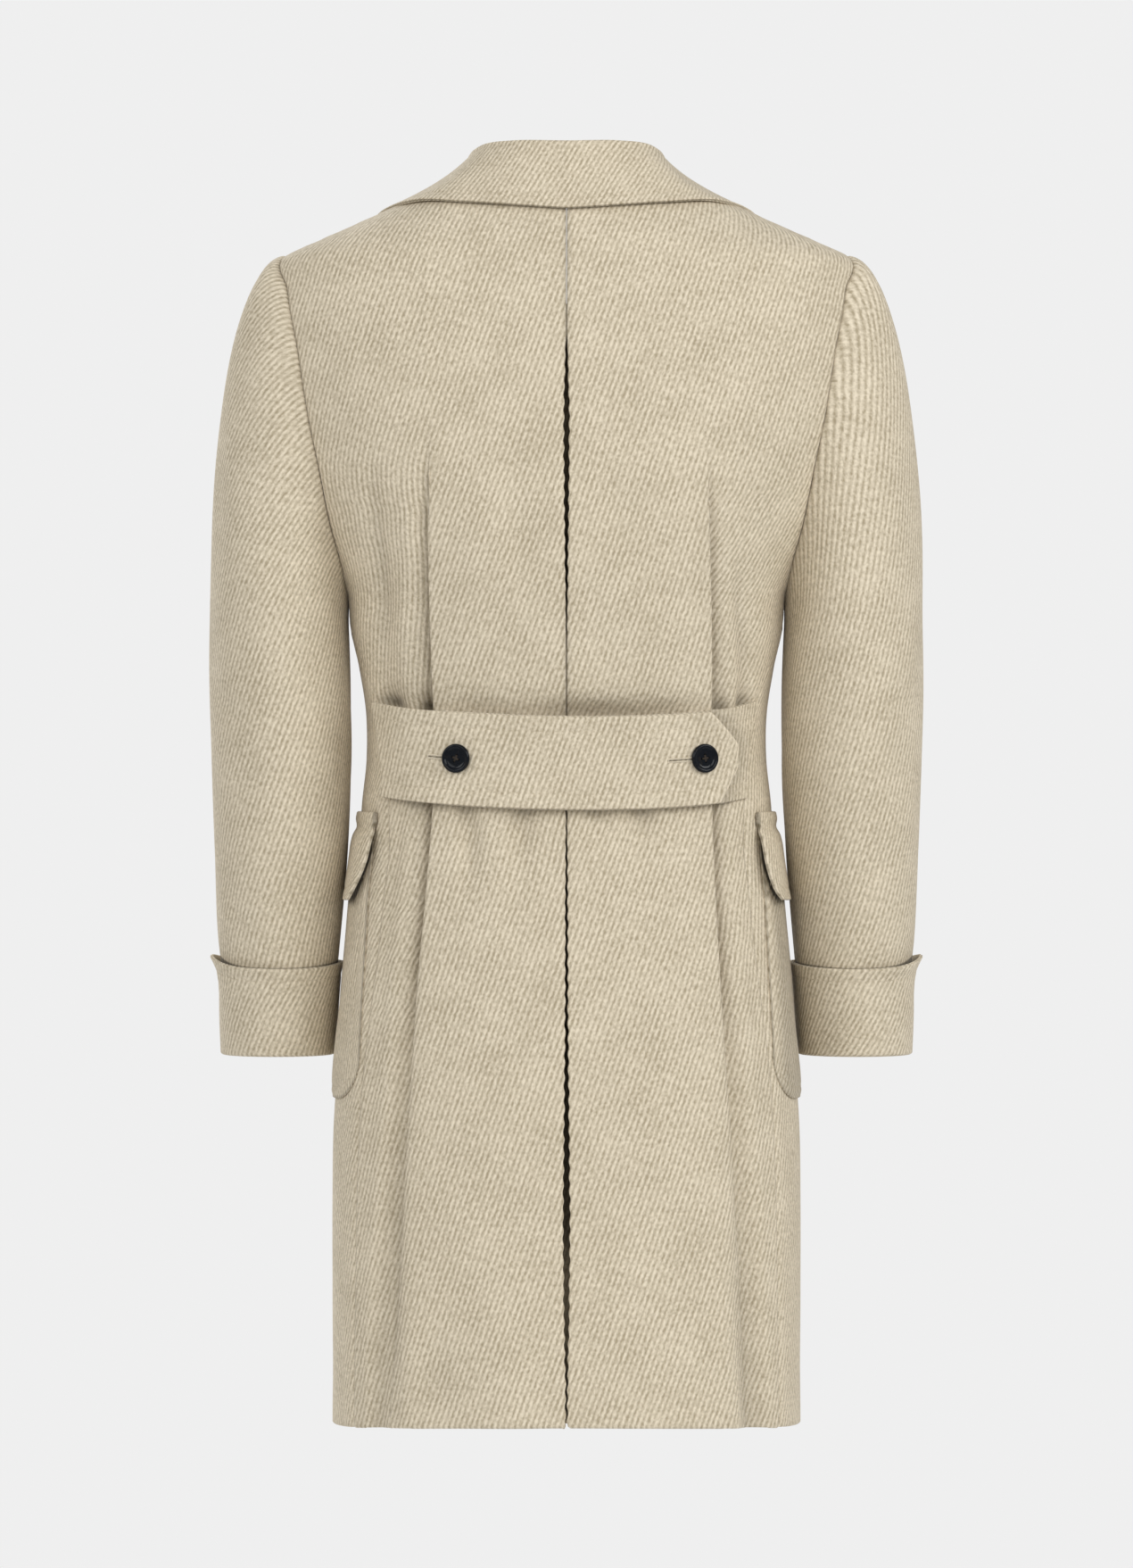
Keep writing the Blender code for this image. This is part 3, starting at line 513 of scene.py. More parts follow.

# Uneven creases of the back: to the right of the middle positive, and height
BACK_CREASES = creases(
    (-0.163, -0.19, -0.147, -0.47, -0.0044, 0.0075),
    (-0.13, -0.23, -0.131, -0.47, 0.003, 0.009),
    (-0.176, -0.3, -0.166, -0.44, 0.0018, 0.008),
    (0.141, -0.28, 0.147, -0.48, -0.0042, 0.0065),
    (0.16, -0.3, 0.162, -0.46, 0.002, 0.008),
    (-0.047, -0.199, -0.032, -0.364, -0.0014, 0.014),
    (-0.079, -0.221, -0.068, -0.371, 0.001, 0.016),
    (0.041, -0.199, 0.049, -0.341, -0.0016, 0.016),
    (0.083, -0.169, 0.088, -0.371, 0.001, 0.018),
    (-0.137, -0.52, -0.152, -0.65, -0.0024, 0.0035),
    (-0.079, -0.462, -0.08, -0.612, -0.0066, 0.008),
    (-0.038, -0.466, -0.035, -0.598, -0.0062, 0.009),
    (0.06, -0.464, 0.058, -0.6, -0.006, 0.01),
    (0.024, -0.47, 0.026, -0.582, -0.003, 0.01),
    (-0.058, -0.5, -0.062, -0.68, 0.001, 0.012),
    (-0.09, -0.86, -0.096, -1.15, -0.003, 0.022),
    (-0.045, -0.9, -0.041, -1.18, 0.0022, 0.02),
    (0.064, -0.784, 0.075, -1.16, -0.0018, 0.026),
    (0.105, -0.671, 0.124, -1.16, 0.0016, 0.024),
    (-0.171, -0.8, -0.174, -1.23, -0.0022, 0.0045),
    (-0.146, -0.84, -0.155, -1.28, 0.0026, 0.006),
    (-0.138, -0.74, -0.143, -1.22, -0.0024, 0.007),
    (0.133, -0.78, 0.157, -1.24, -0.0028, 0.006),
    (0.122, -0.78, 0.142, -1.24, 0.0018, 0.008),
    (0.173, -0.74, 0.176, -1.2, -0.0014, 0.004),
)

# Where the back is drawn in above the belt: distance to the right, depth, half width and strength of the
# painted shade
BELT_GAPS = (
    (-0.145, 0.0075, 0.01, 0.7),
    (-0.115, 0.008, 0.004, 0.8),
    (-0.07, 0.006, 0.03, 0.0),
    (0.022, 0.014, 0.05, 0.1),
    (0.085, 0.006, 0.024, 0.0),
    (0.127, 0.006, 0.005, 0.4),
    (0.147, 0.0075, 0.006, 0.4),
)

# Folds of both fronts, by distance from the centre front and height
FRONT_FOLDS = creases(
    (0.172, -1.56, 0.16, -0.76, 0.0045, 0.024, 0.0),
    (0.128, -1.56, 0.124, -0.72, -0.004, 0.02, 0.0),
)

# Uneven creases of the fronts: distance past the centre front, to its own edge positive
FRONT_CREASES = {
    Side.LEFT: creases(
        (-0.15, -0.41, -0.06, -0.395, -0.0022, 0.009),
        (-0.16, -0.52, -0.07, -0.498, -0.0018, 0.01),
        (-0.09, -0.64, -0.105, -1.0, -0.0024, 0.016),
        (-0.03, -0.66, -0.02, -1.12, 0.0022, 0.02),
        (-0.205, -0.15, -0.165, -0.33, -0.0018, 0.014),
        (0.02, -0.7, 0.036, -1.15, -0.002, 0.018),
    ),
    Side.RIGHT: creases(
        (-0.155, -0.425, -0.062, -0.398, -0.002, 0.01),
        (-0.15, -0.5, -0.068, -0.503, -0.0018, 0.009),
        (-0.095, -0.63, -0.118, -1.08, -0.0026, 0.018),
        (-0.2, -0.16, -0.17, -0.32, -0.0016, 0.013),
    ),
}

# Uneven creases of the sleeves: distance round from the outside line, backward positive
SLEEVE_CREASES = {
    Side.LEFT: creases(
        (0.03, -0.11, 0.044, -0.39, -0.0016, 0.014),
        (0.012, -0.4, 0.09, -0.468, -0.0015, 0.01),
        (0.024, -0.53, 0.1, -0.5, -0.0013, 0.009),
        (0.04, -0.56, 0.066, -0.66, -0.0012, 0.01),
        (-0.1, -0.42, -0.15, -0.45, -0.0028, 0.009),
        (-0.09, -0.47, -0.16, -0.478, -0.0026, 0.01),
        (-0.08, -0.52, -0.14, -0.505, -0.002, 0.009),
    ),
    Side.RIGHT: creases(
        (0.034, -0.14, 0.048, -0.36, -0.0012, 0.015),
        (0.026, -0.452, 0.096, -0.424, -0.0014, 0.01),
        (0.046, -0.545, 0.104, -0.6, -0.0013, 0.01),
        (-0.096, -0.43, -0.155, -0.442, -0.0026, 0.01),
        (-0.085, -0.485, -0.15, -0.47, -0.0028, 0.009),
        (-0.09, -0.54, -0.145, -0.52, -0.0018, 0.009),
    ),
}


@dataclass
class BodyForm:
    """The coat's hollow body as level rings, read by height and distance round from the centre back."""

    hem_z: float = -1.0405
    neck_z: float = 0.002
    shoulder_tip_z: float = -0.062
    armpit_z: float = -0.345
    hem_rise: float = 0.0087
    hem_rise_from: float = -0.56
    hem_round: float = 0.0012
    armhole_back: float = 0.071
    armhole_front: float = 0.058
    seam_gap: float = 0.0003
    level_step: float = 0.001
    ring_steps: int = 720
    nudge: float = 0.002
    levels: Array = field(init=False)
    half: Array = field(init=False)
    turn_along: Array = field(init=False)
    ring_x: Array = field(init=False)
    ring_y: Array = field(init=False)

    def __post_init__(self) -> None:
        """Works out the rings once, each with its points at equal distances round."""
        self.levels = np.arange(TORSO.rows[0, 0], TORSO.rows[-1, 0] + self.level_step / 2, self.level_step)
        turn = np.linspace(0.0, math.pi, self.ring_steps + 1)[None, :]
        size = {name: TORSO.smooth(name, self.levels)[:, None] for name in TORSO.names[1:]}
        power = 2.0 / size["squareness"]
        x = size["half_width"] * np.abs(np.sin(turn)) ** power
        y = np.where(turn < math.pi / 2, -size["back"], size["front"]) * np.abs(np.cos(turn)) ** power
        self.turn_along = run_along(np.stack([x, y], axis=-1), 1)
        self.half = self.turn_along[:, -1]
        share = np.linspace(0.0, 1.0, self.ring_steps + 1)
        self.ring_x, self.ring_y = (
            np.stack([np.interp(share * a[-1], a, row) for a, row in zip(self.turn_along, rows)])
            for rows in (x, y)
        )

    def level(self, z: Array | float) -> tuple[Array, Array]:
        """The ring below a height, and how far it is to the next one.

        Args:
            z: Heights.

        Returns:
            The rings' numbers, and shares from 0 to 1.
        """
        at = (np.clip(z, self.levels[0], self.levels[-1]) - self.levels[0]) / self.level_step
        low = np.minimum(np.asarray(at).astype(int), len(self.levels) - 2)
        return low, at - low

    def between(self, table: Array, z: Array, column: Array) -> Array:
        """Reads a table of rings between its rows and its columns.

        Args:
            table: The table.
            z: Heights.
            column: Places in the table's columns.

        Returns:
            The values there.
        """
        low, up = self.level(z)
        column = np.clip(column, 0.0, table.shape[1] - 1.000001)
        left = column.astype(int)
        right = column - left
        below = table[low, left] * (1 - right) + table[low, left + 1] * right
        above = table[low + 1, left] * (1 - right) + table[low + 1, left + 1] * right
        return below * (1 - up) + above * up

    def half_round(self, z: Array | float) -> Array:
        """Distance round the body from centre back to centre front."""
        return np.interp(z, self.levels, self.half)

    def skin(self, z: Array, s: Array) -> Array:
        """Points of the body.

        Args:
            z: Heights.
            s: Distances round from centre back, to the right positive.

        Returns:
            The points.
        """
        z, s = np.broadcast_arrays(np.asarray(z, dtype=float), np.asarray(s, dtype=float))
        whole = self.half_round(z)
        s = (s + whole) % (2 * whole) - whole
        column = np.abs(s) / whole * self.ring_steps
        x, y = self.between(self.ring_x, z, column), self.between(self.ring_y, z, column)
        behind = np.minimum(0.0, y) / -TORSO.smooth("back", z)
        low = np.maximum(0.0, (self.hem_rise_from - z) / (self.hem_rise_from - self.hem_z))
        return np.stack([np.copysign(x, s), y, z + self.hem_rise * behind**2 * low], axis=-1)

    def outward(self, z: Array, s: Array) -> Array:
        """Unit normals of the body, pointing out, at heights z and distances s round."""
        across = self.skin(z, s + self.nudge) - self.skin(z, s - self.nudge)
        return unit(np.cross(across, self.skin(z + self.nudge, s) - self.skin(z - self.nudge, s)))

    def lifted(self, z: Array, s: Array, lift: Array | float) -> Array:
        """Points that stand off the body at heights z and distances s round from centre back."""
        return self.skin(z, s) + np.asarray(lift)[..., None] * self.outward(z, s)

    def along_at_turn(self, z: Array, degrees: Array | float) -> Array:
        """Distance round from centre back to a direction in degrees."""
        return self.between(self.turn_along, z, np.asarray(degrees / 180.0 * self.ring_steps) + 0.0 * z)

    def ring_at(self, z: float) -> tuple[Array, Array, Array]:
        """One ring.

        Args:
            z: Its height.

        Returns:
            The x, the y and the distance round of its points.
        """
        low, up = self.level(z)
        x, y = (ring[low] * (1 - up) + ring[low + 1] * up for ring in (self.ring_x, self.ring_y))
        return x, y, np.linspace(0.0, float(self.half_round(z)), self.ring_steps + 1)

    def along_at_x(self, z: Array, x: Array, front: bool = False) -> Array:
        """Distance round from the centre back or front to a distance from the middle plane.

        Args:
            z: Heights.
            x: Distances from the middle plane.
            front: Whether it is measured on the front half, from the centre front.

        Returns:
            The distances round.
        """
        z, x = np.broadcast_arrays(z, x)
        found = np.empty(z.shape)
        for i in np.ndindex(z.shape):
            wide, _, along = self.ring_at(z[i])
            if front:
                wide, along = wide[::-1], along[-1] - along[::-1]
            widest = int(np.argmax(wide))
            found[i] = np.interp(x[i], wide[: widest + 1], along[: widest + 1])
        return found

    @property
    def armhole_middle(self) -> float:
        """Height of the armhole's middle."""
        return (self.shoulder_tip_z + self.armpit_z) / 2

    @property
    def armhole_half(self) -> float:
        """Half the armhole's height."""
        return (self.shoulder_tip_z - self.armpit_z) / 2

    def panel_edge(self, z: Array, depth: Array | float) -> Array:
        """Distance round to the outer edge of a back or a front.

        Args:
            z: Heights.
            depth: Depth of the armhole there, negative at the back.

        Returns:
            The distances round from centre back.
        """
        z, depth = np.broadcast_arrays(z, depth)
        shoulder = z >= self.shoulder_tip_z
        edge = np.array(self.along_at_turn(z, np.where(shoulder, 90.0, SIDE_SEAM.straight("turn", z))))
        for i in map(tuple, np.argwhere((z > self.armpit_z) & ~shoulder)):
            _, y, along = self.ring_at(z[i])
            share = math.sqrt(max(0.0, 1.0 - ((z[i] - self.armhole_middle) / self.armhole_half) ** 2))
            edge[i] = np.interp(depth[i] * share, y, along)
        return edge

    def rows(self, skirt: int, shoulder: int) -> Array:
        """Heights of a panel's rows, so many up to the shoulder tip and so many from there to the neck."""
        low = np.linspace(self.hem_z + self.hem_round, self.shoulder_tip_z, skirt)
        return np.hstack([low, np.linspace(self.shoulder_tip_z, self.neck_z, shoulder + 1)[1:]])


@dataclass
class Sheet:
    """A piece of cloth: a grid of points on its outer face, made into a thin closed shell with soft edges."""

    name: str
    outer: Array
    weave: Array
    thickness: Array | float
    closed: bool = False
    layers: int = 1
    # Painted shading of the outer face: painted highlight where positive, painted shade where negative
    painted_shading: Array | float = 0.0

    def normals(self) -> Array:
        """Unit normals of the outer face."""
        return grid_normals(self.outer, self.closed)

    def line(self, rows: int | slice | Array, columns: int | slice = slice(None)) -> Line:
        """Points and normals along a row or a column."""
        return self.outer[rows, columns], self.normals()[rows, columns]

    def turned(self, flip: bool) -> "Sheet":
        """Puts the columns in the other order, where they ran to the left as seen from outside.

        Args:
            flip: Whether to do it.

        Returns:
            The sheet.
        """
        if not flip:
            return self
        size = self.outer.shape[:2]
        thick, painted_shading = (np.broadcast_to(part, size)[:, ::-1] for part in (self.thickness, self.painted_shading))
        outer, weave = self.outer[:, ::-1], self.weave[:, ::-1]
        return replace(self, outer=outer, weave=weave, thickness=thick, painted_shading=painted_shading)

    def cut(self) -> tuple[float, float, float]:
        """Measures the flat cut.

        Returns:
            Its widest row, its longest column and its area.
        """
        wide, long = run_along(self.outer, 1)[:, -1].max(), run_along(self.outer, 0)[-1].max()
        if self.closed:
            wide += np.linalg.norm(self.outer[:, 0] - self.outer[:, -1], axis=1).max()
        low, high = self.outer[:-1], self.outer[1:]
        cells = np.cross(high[:, 1:] - low[:, :-1], high[:, :-1] - low[:, 1:])
        return float(wide), float(long), float(0.5 * np.linalg.norm(cells, axis=2).sum())

    def rim_way(self) -> Array:
        """Finds the way out of the cloth at its edges.

        Returns:
            Unit directions at the edges, and nothing inside.
        """
        way = np.zeros_like(self.outer)
        for edge, inside in ((0, 1), (-1, -2)):
            way[edge] += unit(self.outer[edge] - self.outer[inside])
        if not self.closed:
            for edge, inside in ((0, 1), (-1, -2)):
                way[:, edge] += unit(self.outer[:, edge] - self.outer[:, inside])
        return unit(way)

    def build(self, finish: Material) -> bpy.types.Object:
        """Makes the shell.

        Args:
            finish: The cloth's material.

        Returns:
            The object.
        """
        size, outer, way = self.outer.shape[:2], self.outer, self.rim_way()
        thick = np.broadcast_to(np.asarray(self.thickness, dtype=float), size)
        painted_shading = np.broadcast_to(np.asarray(self.painted_shading, dtype=float), size)
        inner = outer - thick[..., None] * self.normals()
        if self.closed:
            parts = (outer, inner, way, thick, painted_shading)
            outer, inner, way, thick, painted_shading = (np.hstack([a, a[:, :1]]) for a in parts)
        rows, columns = outer.shape[:2]
        outside, inside, ways = (a.reshape(-1, 3) for a in (outer, inner, way))
        weave, thick, painted_shading = self.weave.reshape(-1, 2), thick.reshape(-1), painted_shading.reshape(-1)
        bm = bmesh.new()
        bmesh.ops.create_grid(bm, x_segments=columns - 1, y_segments=rows - 1, size=1.0)
        place = bm.verts.layers.int.new("place")
        layer = bm.loops.layers.uv.new(WEAVE)
        shading_layer = bm.verts.layers.float.new(PAINTED_SHADING)
        for i, vert in enumerate(bm.verts):
            vert[place] = i
            vert[shading_layer] = float(painted_shading[i])
            vert.co = outside[i]
        for face in bm.faces:
            for loop in face.loops:
                loop[layer].uv = weave[loop.vert[place]]
        if self.closed:
            seam = [v for i, v in enumerate(bm.verts) if i % columns in (0, columns - 1)]
            bmesh.ops.remove_doubles(bm, verts=seam, dist=1e-7)
        made = bmesh.ops.extrude_face_region(bm, geom=bm.faces[:], use_keep_orig=True)
        behind = {part for part in made["geom"] if isinstance(part, BMVert)}
        for vert in behind:
            vert.co = inside[vert[place]]
            # The inner face gets no painted shading
            vert[shading_layer] = 0.0
        rim = [e for e in bm.edges if (e.verts[0] in behind) != (e.verts[1] in behind)]
        cuts = bmesh.ops.subdivide_edges(bm, edges=rim, cuts=3, use_grid_fill=True)
        for vert in {part for part in cuts["geom_inner"] if isinstance(part, BMVert)}:
            i = vert[place]
            share = (vert.co - Vector(outside[i])).length / max(thick[i], 1e-9)
            vert.co += Vector(ways[i]) * float(thick[i] * self.lip(share))
        bmesh.ops.recalc_face_normals(bm, faces=bm.faces[:])
        return add_object(self.name, bm, finish)

    def lip(self, share: float) -> float:
        """How far the edge swells: one round edge, or two with a groove between them.

        Args:
            share: A share of the cloth's thickness.

        Returns:
            The swell there, in thicknesses.
        """
        if self.layers == 1:
            return 0.45 * math.sin(math.pi * share)
        return 0.32 * abs(math.sin(2 * math.pi * share)) - 0.4 * math.exp(-(((share - 0.5) / 0.12) ** 2))


@dataclass
class BackPanel:
    """One half of the back: the edge at the centre pleat, the raised middle, a side pleat and the side."""

    body: BodyForm
    side: Side
    cloth: float = 0.0018
    pleat_cloth: float = 0.0014
    hem_cloth: float = 0.0034
    hem_depth: float = 0.045
    flange: float = 0.016
    flange_shares: Sizes = (0.0, 0.4, 0.8)
    roll_turns: Sizes = (0.0, 22.5, 45.0, 67.5)
    usual_softness: float = 0.01
    sewn_roll: float = 0.0013
    open_roll: float = 0.0014
    scallop: float = 0.001
    scallop_pitch: float = 0.0127
    seam_fade: float = 0.024
    belt_half: float = 0.0388
    belt_gap_tall: float = 0.015
    pleat_most_share: float = 0.78
    ridge_share: float = 0.5
    swell: float = 0.0005
    # Strengths of painted shade along the closed centre seam, along the outer edge's seams and in the folds'
    # hollows
    slit_shade: float = 0.32
    seam_shade: float = 0.4
    hollow_shade: float = 40.0
    middle_columns: int = 28
    side_columns: int = 34
    skirt_rows: int = 460
    shoulder_rows: int = 32
    steep_tilt: float = 0.6
    flat_tilt: float = -0.16
    grain_low_z: float = -0.515
    grain_high_z: float = -0.455

    def pleat_x(self, z: Array) -> Array:
        """Distance from the middle plane to this half's side pleat."""
        return PLEAT.smooth("x", z) - (PLEAT.smooth("left_in", z) if self.side is Side.LEFT else 0.0)

    def relief(self, x: Array, z: Array) -> Array:
        """Height of the back's folds and creases."""
        return all_relief(BACK_FOLDS, np.abs(x), z) + all_relief(BACK_CREASES, x, z)

    def above_belt(self, z: Array, s: Array) -> Array:
        """Height above the belt's upper edge."""
        return z - BELT_LINE.smooth("z", s) - self.belt_half

    def slit_edge(self, z: Array) -> Array:
        """Folded edge of the centre pleat, scalloped by the ribs.

        Args:
            z: Heights.

        Returns:
            Its distances from the middle.
        """
        open_here = SLIT.straight("open", z)
        wave = np.sin(2 * math.pi * z / self.scallop_pitch + 1.3 * self.side.value)
        wave = wave + 0.4 * ripple(z, 0.047, 2.0 + self.side.value)
        return SLIT.straight("half_gap", z) + self.scallop * open_here * (0.55 + 0.55 * wave).clip(0.0, 1.2)

    def folds(self, z: Array, s: Array, edge: Array) -> Array:
        """Height of the folds, seams and dips above the smooth body.

        Args:
            z: Heights.
            s: Distances round from the middle, to the right positive.
            edge: Distance round to the panel's outer edge in each row.

        Returns:
            The height at each place.
        """
        x = self.body.skin(z, s)[..., 0]
        to_edge = edge - np.abs(s)
        inside = ramp(0.0, self.seam_fade, to_edge)
        soft = self.relief(x, z)
        soft = soft + self.swell * ripple(x + 0.2 * z, 0.11, 1.0) * ripple(z, 0.19, 2.0)
        beyond = np.abs(x) - self.pleat_x(z)
        far = 0.01 + 0.016 * ramp(-0.62, -0.88, z)
        beside = ramp(-0.0005, 0.0012, beyond) * (1.0 - ramp(0.0015, far, beyond))
        soft = soft + PLEAT.smooth("dip", z) * (self.ridge_share * hump(beyond - 0.02, 0.009) - beside)
        drawn_in = sum(deep * hump(x - at, wide) for at, deep, wide, _ in BELT_GAPS)
        gap = -drawn_in * hump(self.above_belt(z, s) + 0.003, self.belt_gap_tall)
        puff = seam_puff(to_edge, z, 3.0 + self.side.value)
        return soft * inside + puff + gap * ramp(0.0, 0.012, to_edge)

    def painted_shading(self, z: Array, s: Array, start: Array, edge: Array) -> Array:
        """Painted shade: how far the cloth is darkened where shade falls, in the seams, the folds' hollows
        and the gaps above the belt.

        Args:
            z: Heights.
            s: Distances round from the middle, to the right positive.
            start: Distance round to the panel's inner edge in each row.
            edge: Distance round to the panel's outer edge in each row.

        Returns:
            0 where the cloth is plain, down to -1 where the painted shade is darkest.
        """
        x = self.body.skin(z, s)[..., 0]
        # Painted shade in the gaps above the belt, along each side pleat's fold, along the seams and in the
        # hollows
        gap = sum(dark * hump(x - at, wide) for at, _, wide, dark in BELT_GAPS)
        gap = gap * hump(self.above_belt(z, s) - 0.001, 0.0055)
        line = (20.0 + 45.0 * ramp(-0.84, -0.66, z)) * PLEAT.smooth("dip", z)
        line = line * hump(np.abs(x) - self.pleat_x(z) - 0.002, 0.0026)
        closed = self.slit_shade * (1.0 - SLIT.straight("open", z))
        seam = closed * ramp(0.002, 0.0004, np.abs(s) - start)
        seam = seam + self.seam_shade * ramp(0.0014, 0.0003, edge - np.abs(s))
        hollow = self.hollow_shade * np.clip(-self.relief(x, z) - 0.0008, 0.0, 0.006)
        hollow = hollow * (1.0 - 0.75 * hump(z + 0.55, 0.06))
        return -np.clip(gap + line + seam + hollow, 0.0, 1.0)

    def grain(self, weave: Array, z: Array, beyond: Array) -> Array:
        """Tilts the weave of the side section above the belt, and back again behind the belt.

        Args:
            weave: The weave of the whole panel.
            z: Heights of the rows.
            beyond: How far each place is beyond the side pleat, from 0 to 1.

        Returns:
            The tilted weave.
        """
        tilt = self.steep_tilt if self.side is Side.LEFT else self.flat_tilt
        share = tilt * ramp(-0.2, -0.3, z)
        shift = np.cumsum(share * np.gradient(weave[:, 0, 1]))
        shift = (shift - shift[-1]) * ramp(self.grain_low_z, self.grain_high_z, z)
        tilted = weave.copy()
        tilted[..., 0] += shift[:, None] * beyond / math.tan(math.radians(70.0))
        return tilted

    def sheet(self) -> Sheet:
        """Lays the panel out.

        Returns:
            The sheet.
        """
        body, sign = self.body, self.side.value
        z = body.rows(self.skirt_rows, self.shoulder_rows)[:, None]
        edge = body.panel_edge(z, -body.armhole_back)
        start = self.slit_edge(z)
        roll = self.sewn_roll + (self.open_roll - self.sewn_roll) * SLIT.straight("open", z)
        rise = np.maximum(0.0, PLEAT.smooth("rise", z))
        pleat = np.minimum(body.along_at_x(z, self.pleat_x(z)), self.pleat_most_share * edge)
        fold = PLEAT.straight(self.side.named("fold"), z)
        soft = PLEAT.smooth("softness", z) / self.usual_softness
        out = fold * PLEAT_PATH.column("knife_out") + (1 - fold) * soft * PLEAT_PATH.column("soft_out")
        up = fold * PLEAT_PATH.column("knife_up") + (1 - fold) * PLEAT_PATH.column("soft_up")
        pleat_s = pleat + out
        share = np.linspace(0.0, 1.0, self.middle_columns + 1)[:-1]
        middle_s = (start + roll) * (1 - share) + pleat_s[:, :1] * share
        share = np.linspace(0.0, 1.0, self.side_columns + 1)[1:]
        side_s = pleat_s[:, -1:] * (1 - share) + edge * share
        turn, deep = np.radians(self.roll_turns), np.array(self.flange_shares)
        roll_s = start + roll * (1 - np.cos(turn))
        s = np.hstack([np.repeat(start, len(deep), axis=1), roll_s, middle_s, pleat_s, side_s])
        lift = self.folds(z, sign * s, edge)
        edge_top = lift[:, :1] + rise - roll
        flat_from = len(deep) + len(turn)
        pleated = flat_from + self.middle_columns
        lift[:, : len(deep)] = -self.flange + (edge_top + self.flange) * deep
        lift[:, len(deep) : flat_from] = edge_top + roll * np.sin(turn)
        lift[:, flat_from:pleated] += rise
        lift[:, pleated : -self.side_columns] += rise * up
        outer = body.lifted(z, sign * s, lift)
        weave = weave_of(outer, zero=pleated, rise_from=flat_from + self.middle_columns // 2)
        weave[..., 0] = sign * (weave[..., 0] + pleat_s[:, :1])
        weave = self.grain(weave, z[:, 0], ramp(7.0, 14.0, np.arange(s.shape[1]) - pleated))
        hem = 1.0 - ramp(self.hem_depth - HEM_FADE, self.hem_depth, z - body.hem_z)
        thick = np.repeat(self.cloth + (self.hem_cloth - self.cloth) * hem, s.shape[1], axis=1)
        thick[:, pleated : -self.side_columns] *= self.pleat_cloth / self.cloth
        painted_shading = self.painted_shading(z, sign * s, start, edge)
        return Sheet(self.side.named("back"), outer, weave, thick, painted_shading=painted_shading).turned(self.side is Side.LEFT)


@dataclass
class PleatUnderlay:
    """The strip of cloth behind the centre pleat."""

    body: BodyForm
    half_width: float = 0.045
    top_z: float = -0.105
    depth: float = 0.0163
    short: float = 0.003
    swell: float = 0.0007
    shade: float = 0.75
    cloth: float = 0.0018
    rows: int = 200
    columns: int = 24

    def sheet(self) -> Sheet:
        """Lays the strip out, with painted shade where the pleat hides it.

        Returns:
            The sheet.
        """
        z = np.linspace(self.body.hem_z + self.short, self.top_z, self.rows)[:, None]
        s = np.linspace(-self.half_width, self.half_width, self.columns)[None, :]
        lift = -self.depth - self.swell * (1.0 + ripple(z + 0.3 * s, 0.14, 6.0))
        outer = self.body.lifted(z, s, lift + 0.0 * s)
        # Painted shade, except near the hem
        painted_shading = -self.shade * ramp(-0.93, -0.86, z) + 0.0 * s
        return Sheet("pleat_underlay", outer, weave_of(outer), self.cloth, painted_shading=painted_shading)


@dataclass
class FrontForm:
    """The two fronts' shape: the left one lies over the right one, and both roll back into lapels."""

    body: BodyForm
    wrap: float = 0.085
    break_z: float = -0.38
    roll_top_x: float = 0.072
    over_lift: float = 0.008
    over_from: float = -0.24
    over_full: float = -0.092
    over_top_z: float = -0.09
    over_full_z: float = -0.165

    def end(self, z: Array) -> Array:
        """How far a front reaches: to its edge, or to its roll line higher up.

        Args:
            z: Heights.

        Returns:
            Distances past the centre front.
        """
        down = (self.body.neck_z - z) / (self.body.neck_z - self.break_z)
        x = self.roll_top_x - (self.roll_top_x + self.wrap) * down
        rolled = -np.copysign(self.body.along_at_x(z, np.abs(x), front=True), x)
        return np.where(z <= self.break_z, self.wrap, rolled)

    def lift(self, side: Side, z: Array, past: Array) -> Array:
        """How far a front stands above the body.

        Args:
            side: Which front.
            z: Heights.
            past: Distances past the centre front.

        Returns:
            The heights.
        """
        folds = all_relief(FRONT_FOLDS, -past, z)
        if side is Side.RIGHT:
            return folds
        lapped = ramp(self.over_from, self.over_full, past)
        return folds + self.over_lift * lapped * ramp(self.over_top_z, self.over_full_z, z)

    def place(self, side: Side, z: Array, past: Array, lift: Array | float) -> Array:
        """Points above a side's front, at heights z and distances past the centre front."""
        s = side.value * (self.body.half_round(z) + past)
        return self.body.lifted(z, s, self.lift(side, z, past) + lift)

    def beside(self, side: Side, z: Array, place: Array, lift: Array | float) -> Array:
        """Points above a side's front, at distances round from the widest point, forward positive."""
        past = self.body.along_at_turn(z, 90.0) + place - self.body.half_round(z)
        return self.place(side, z, past, lift)


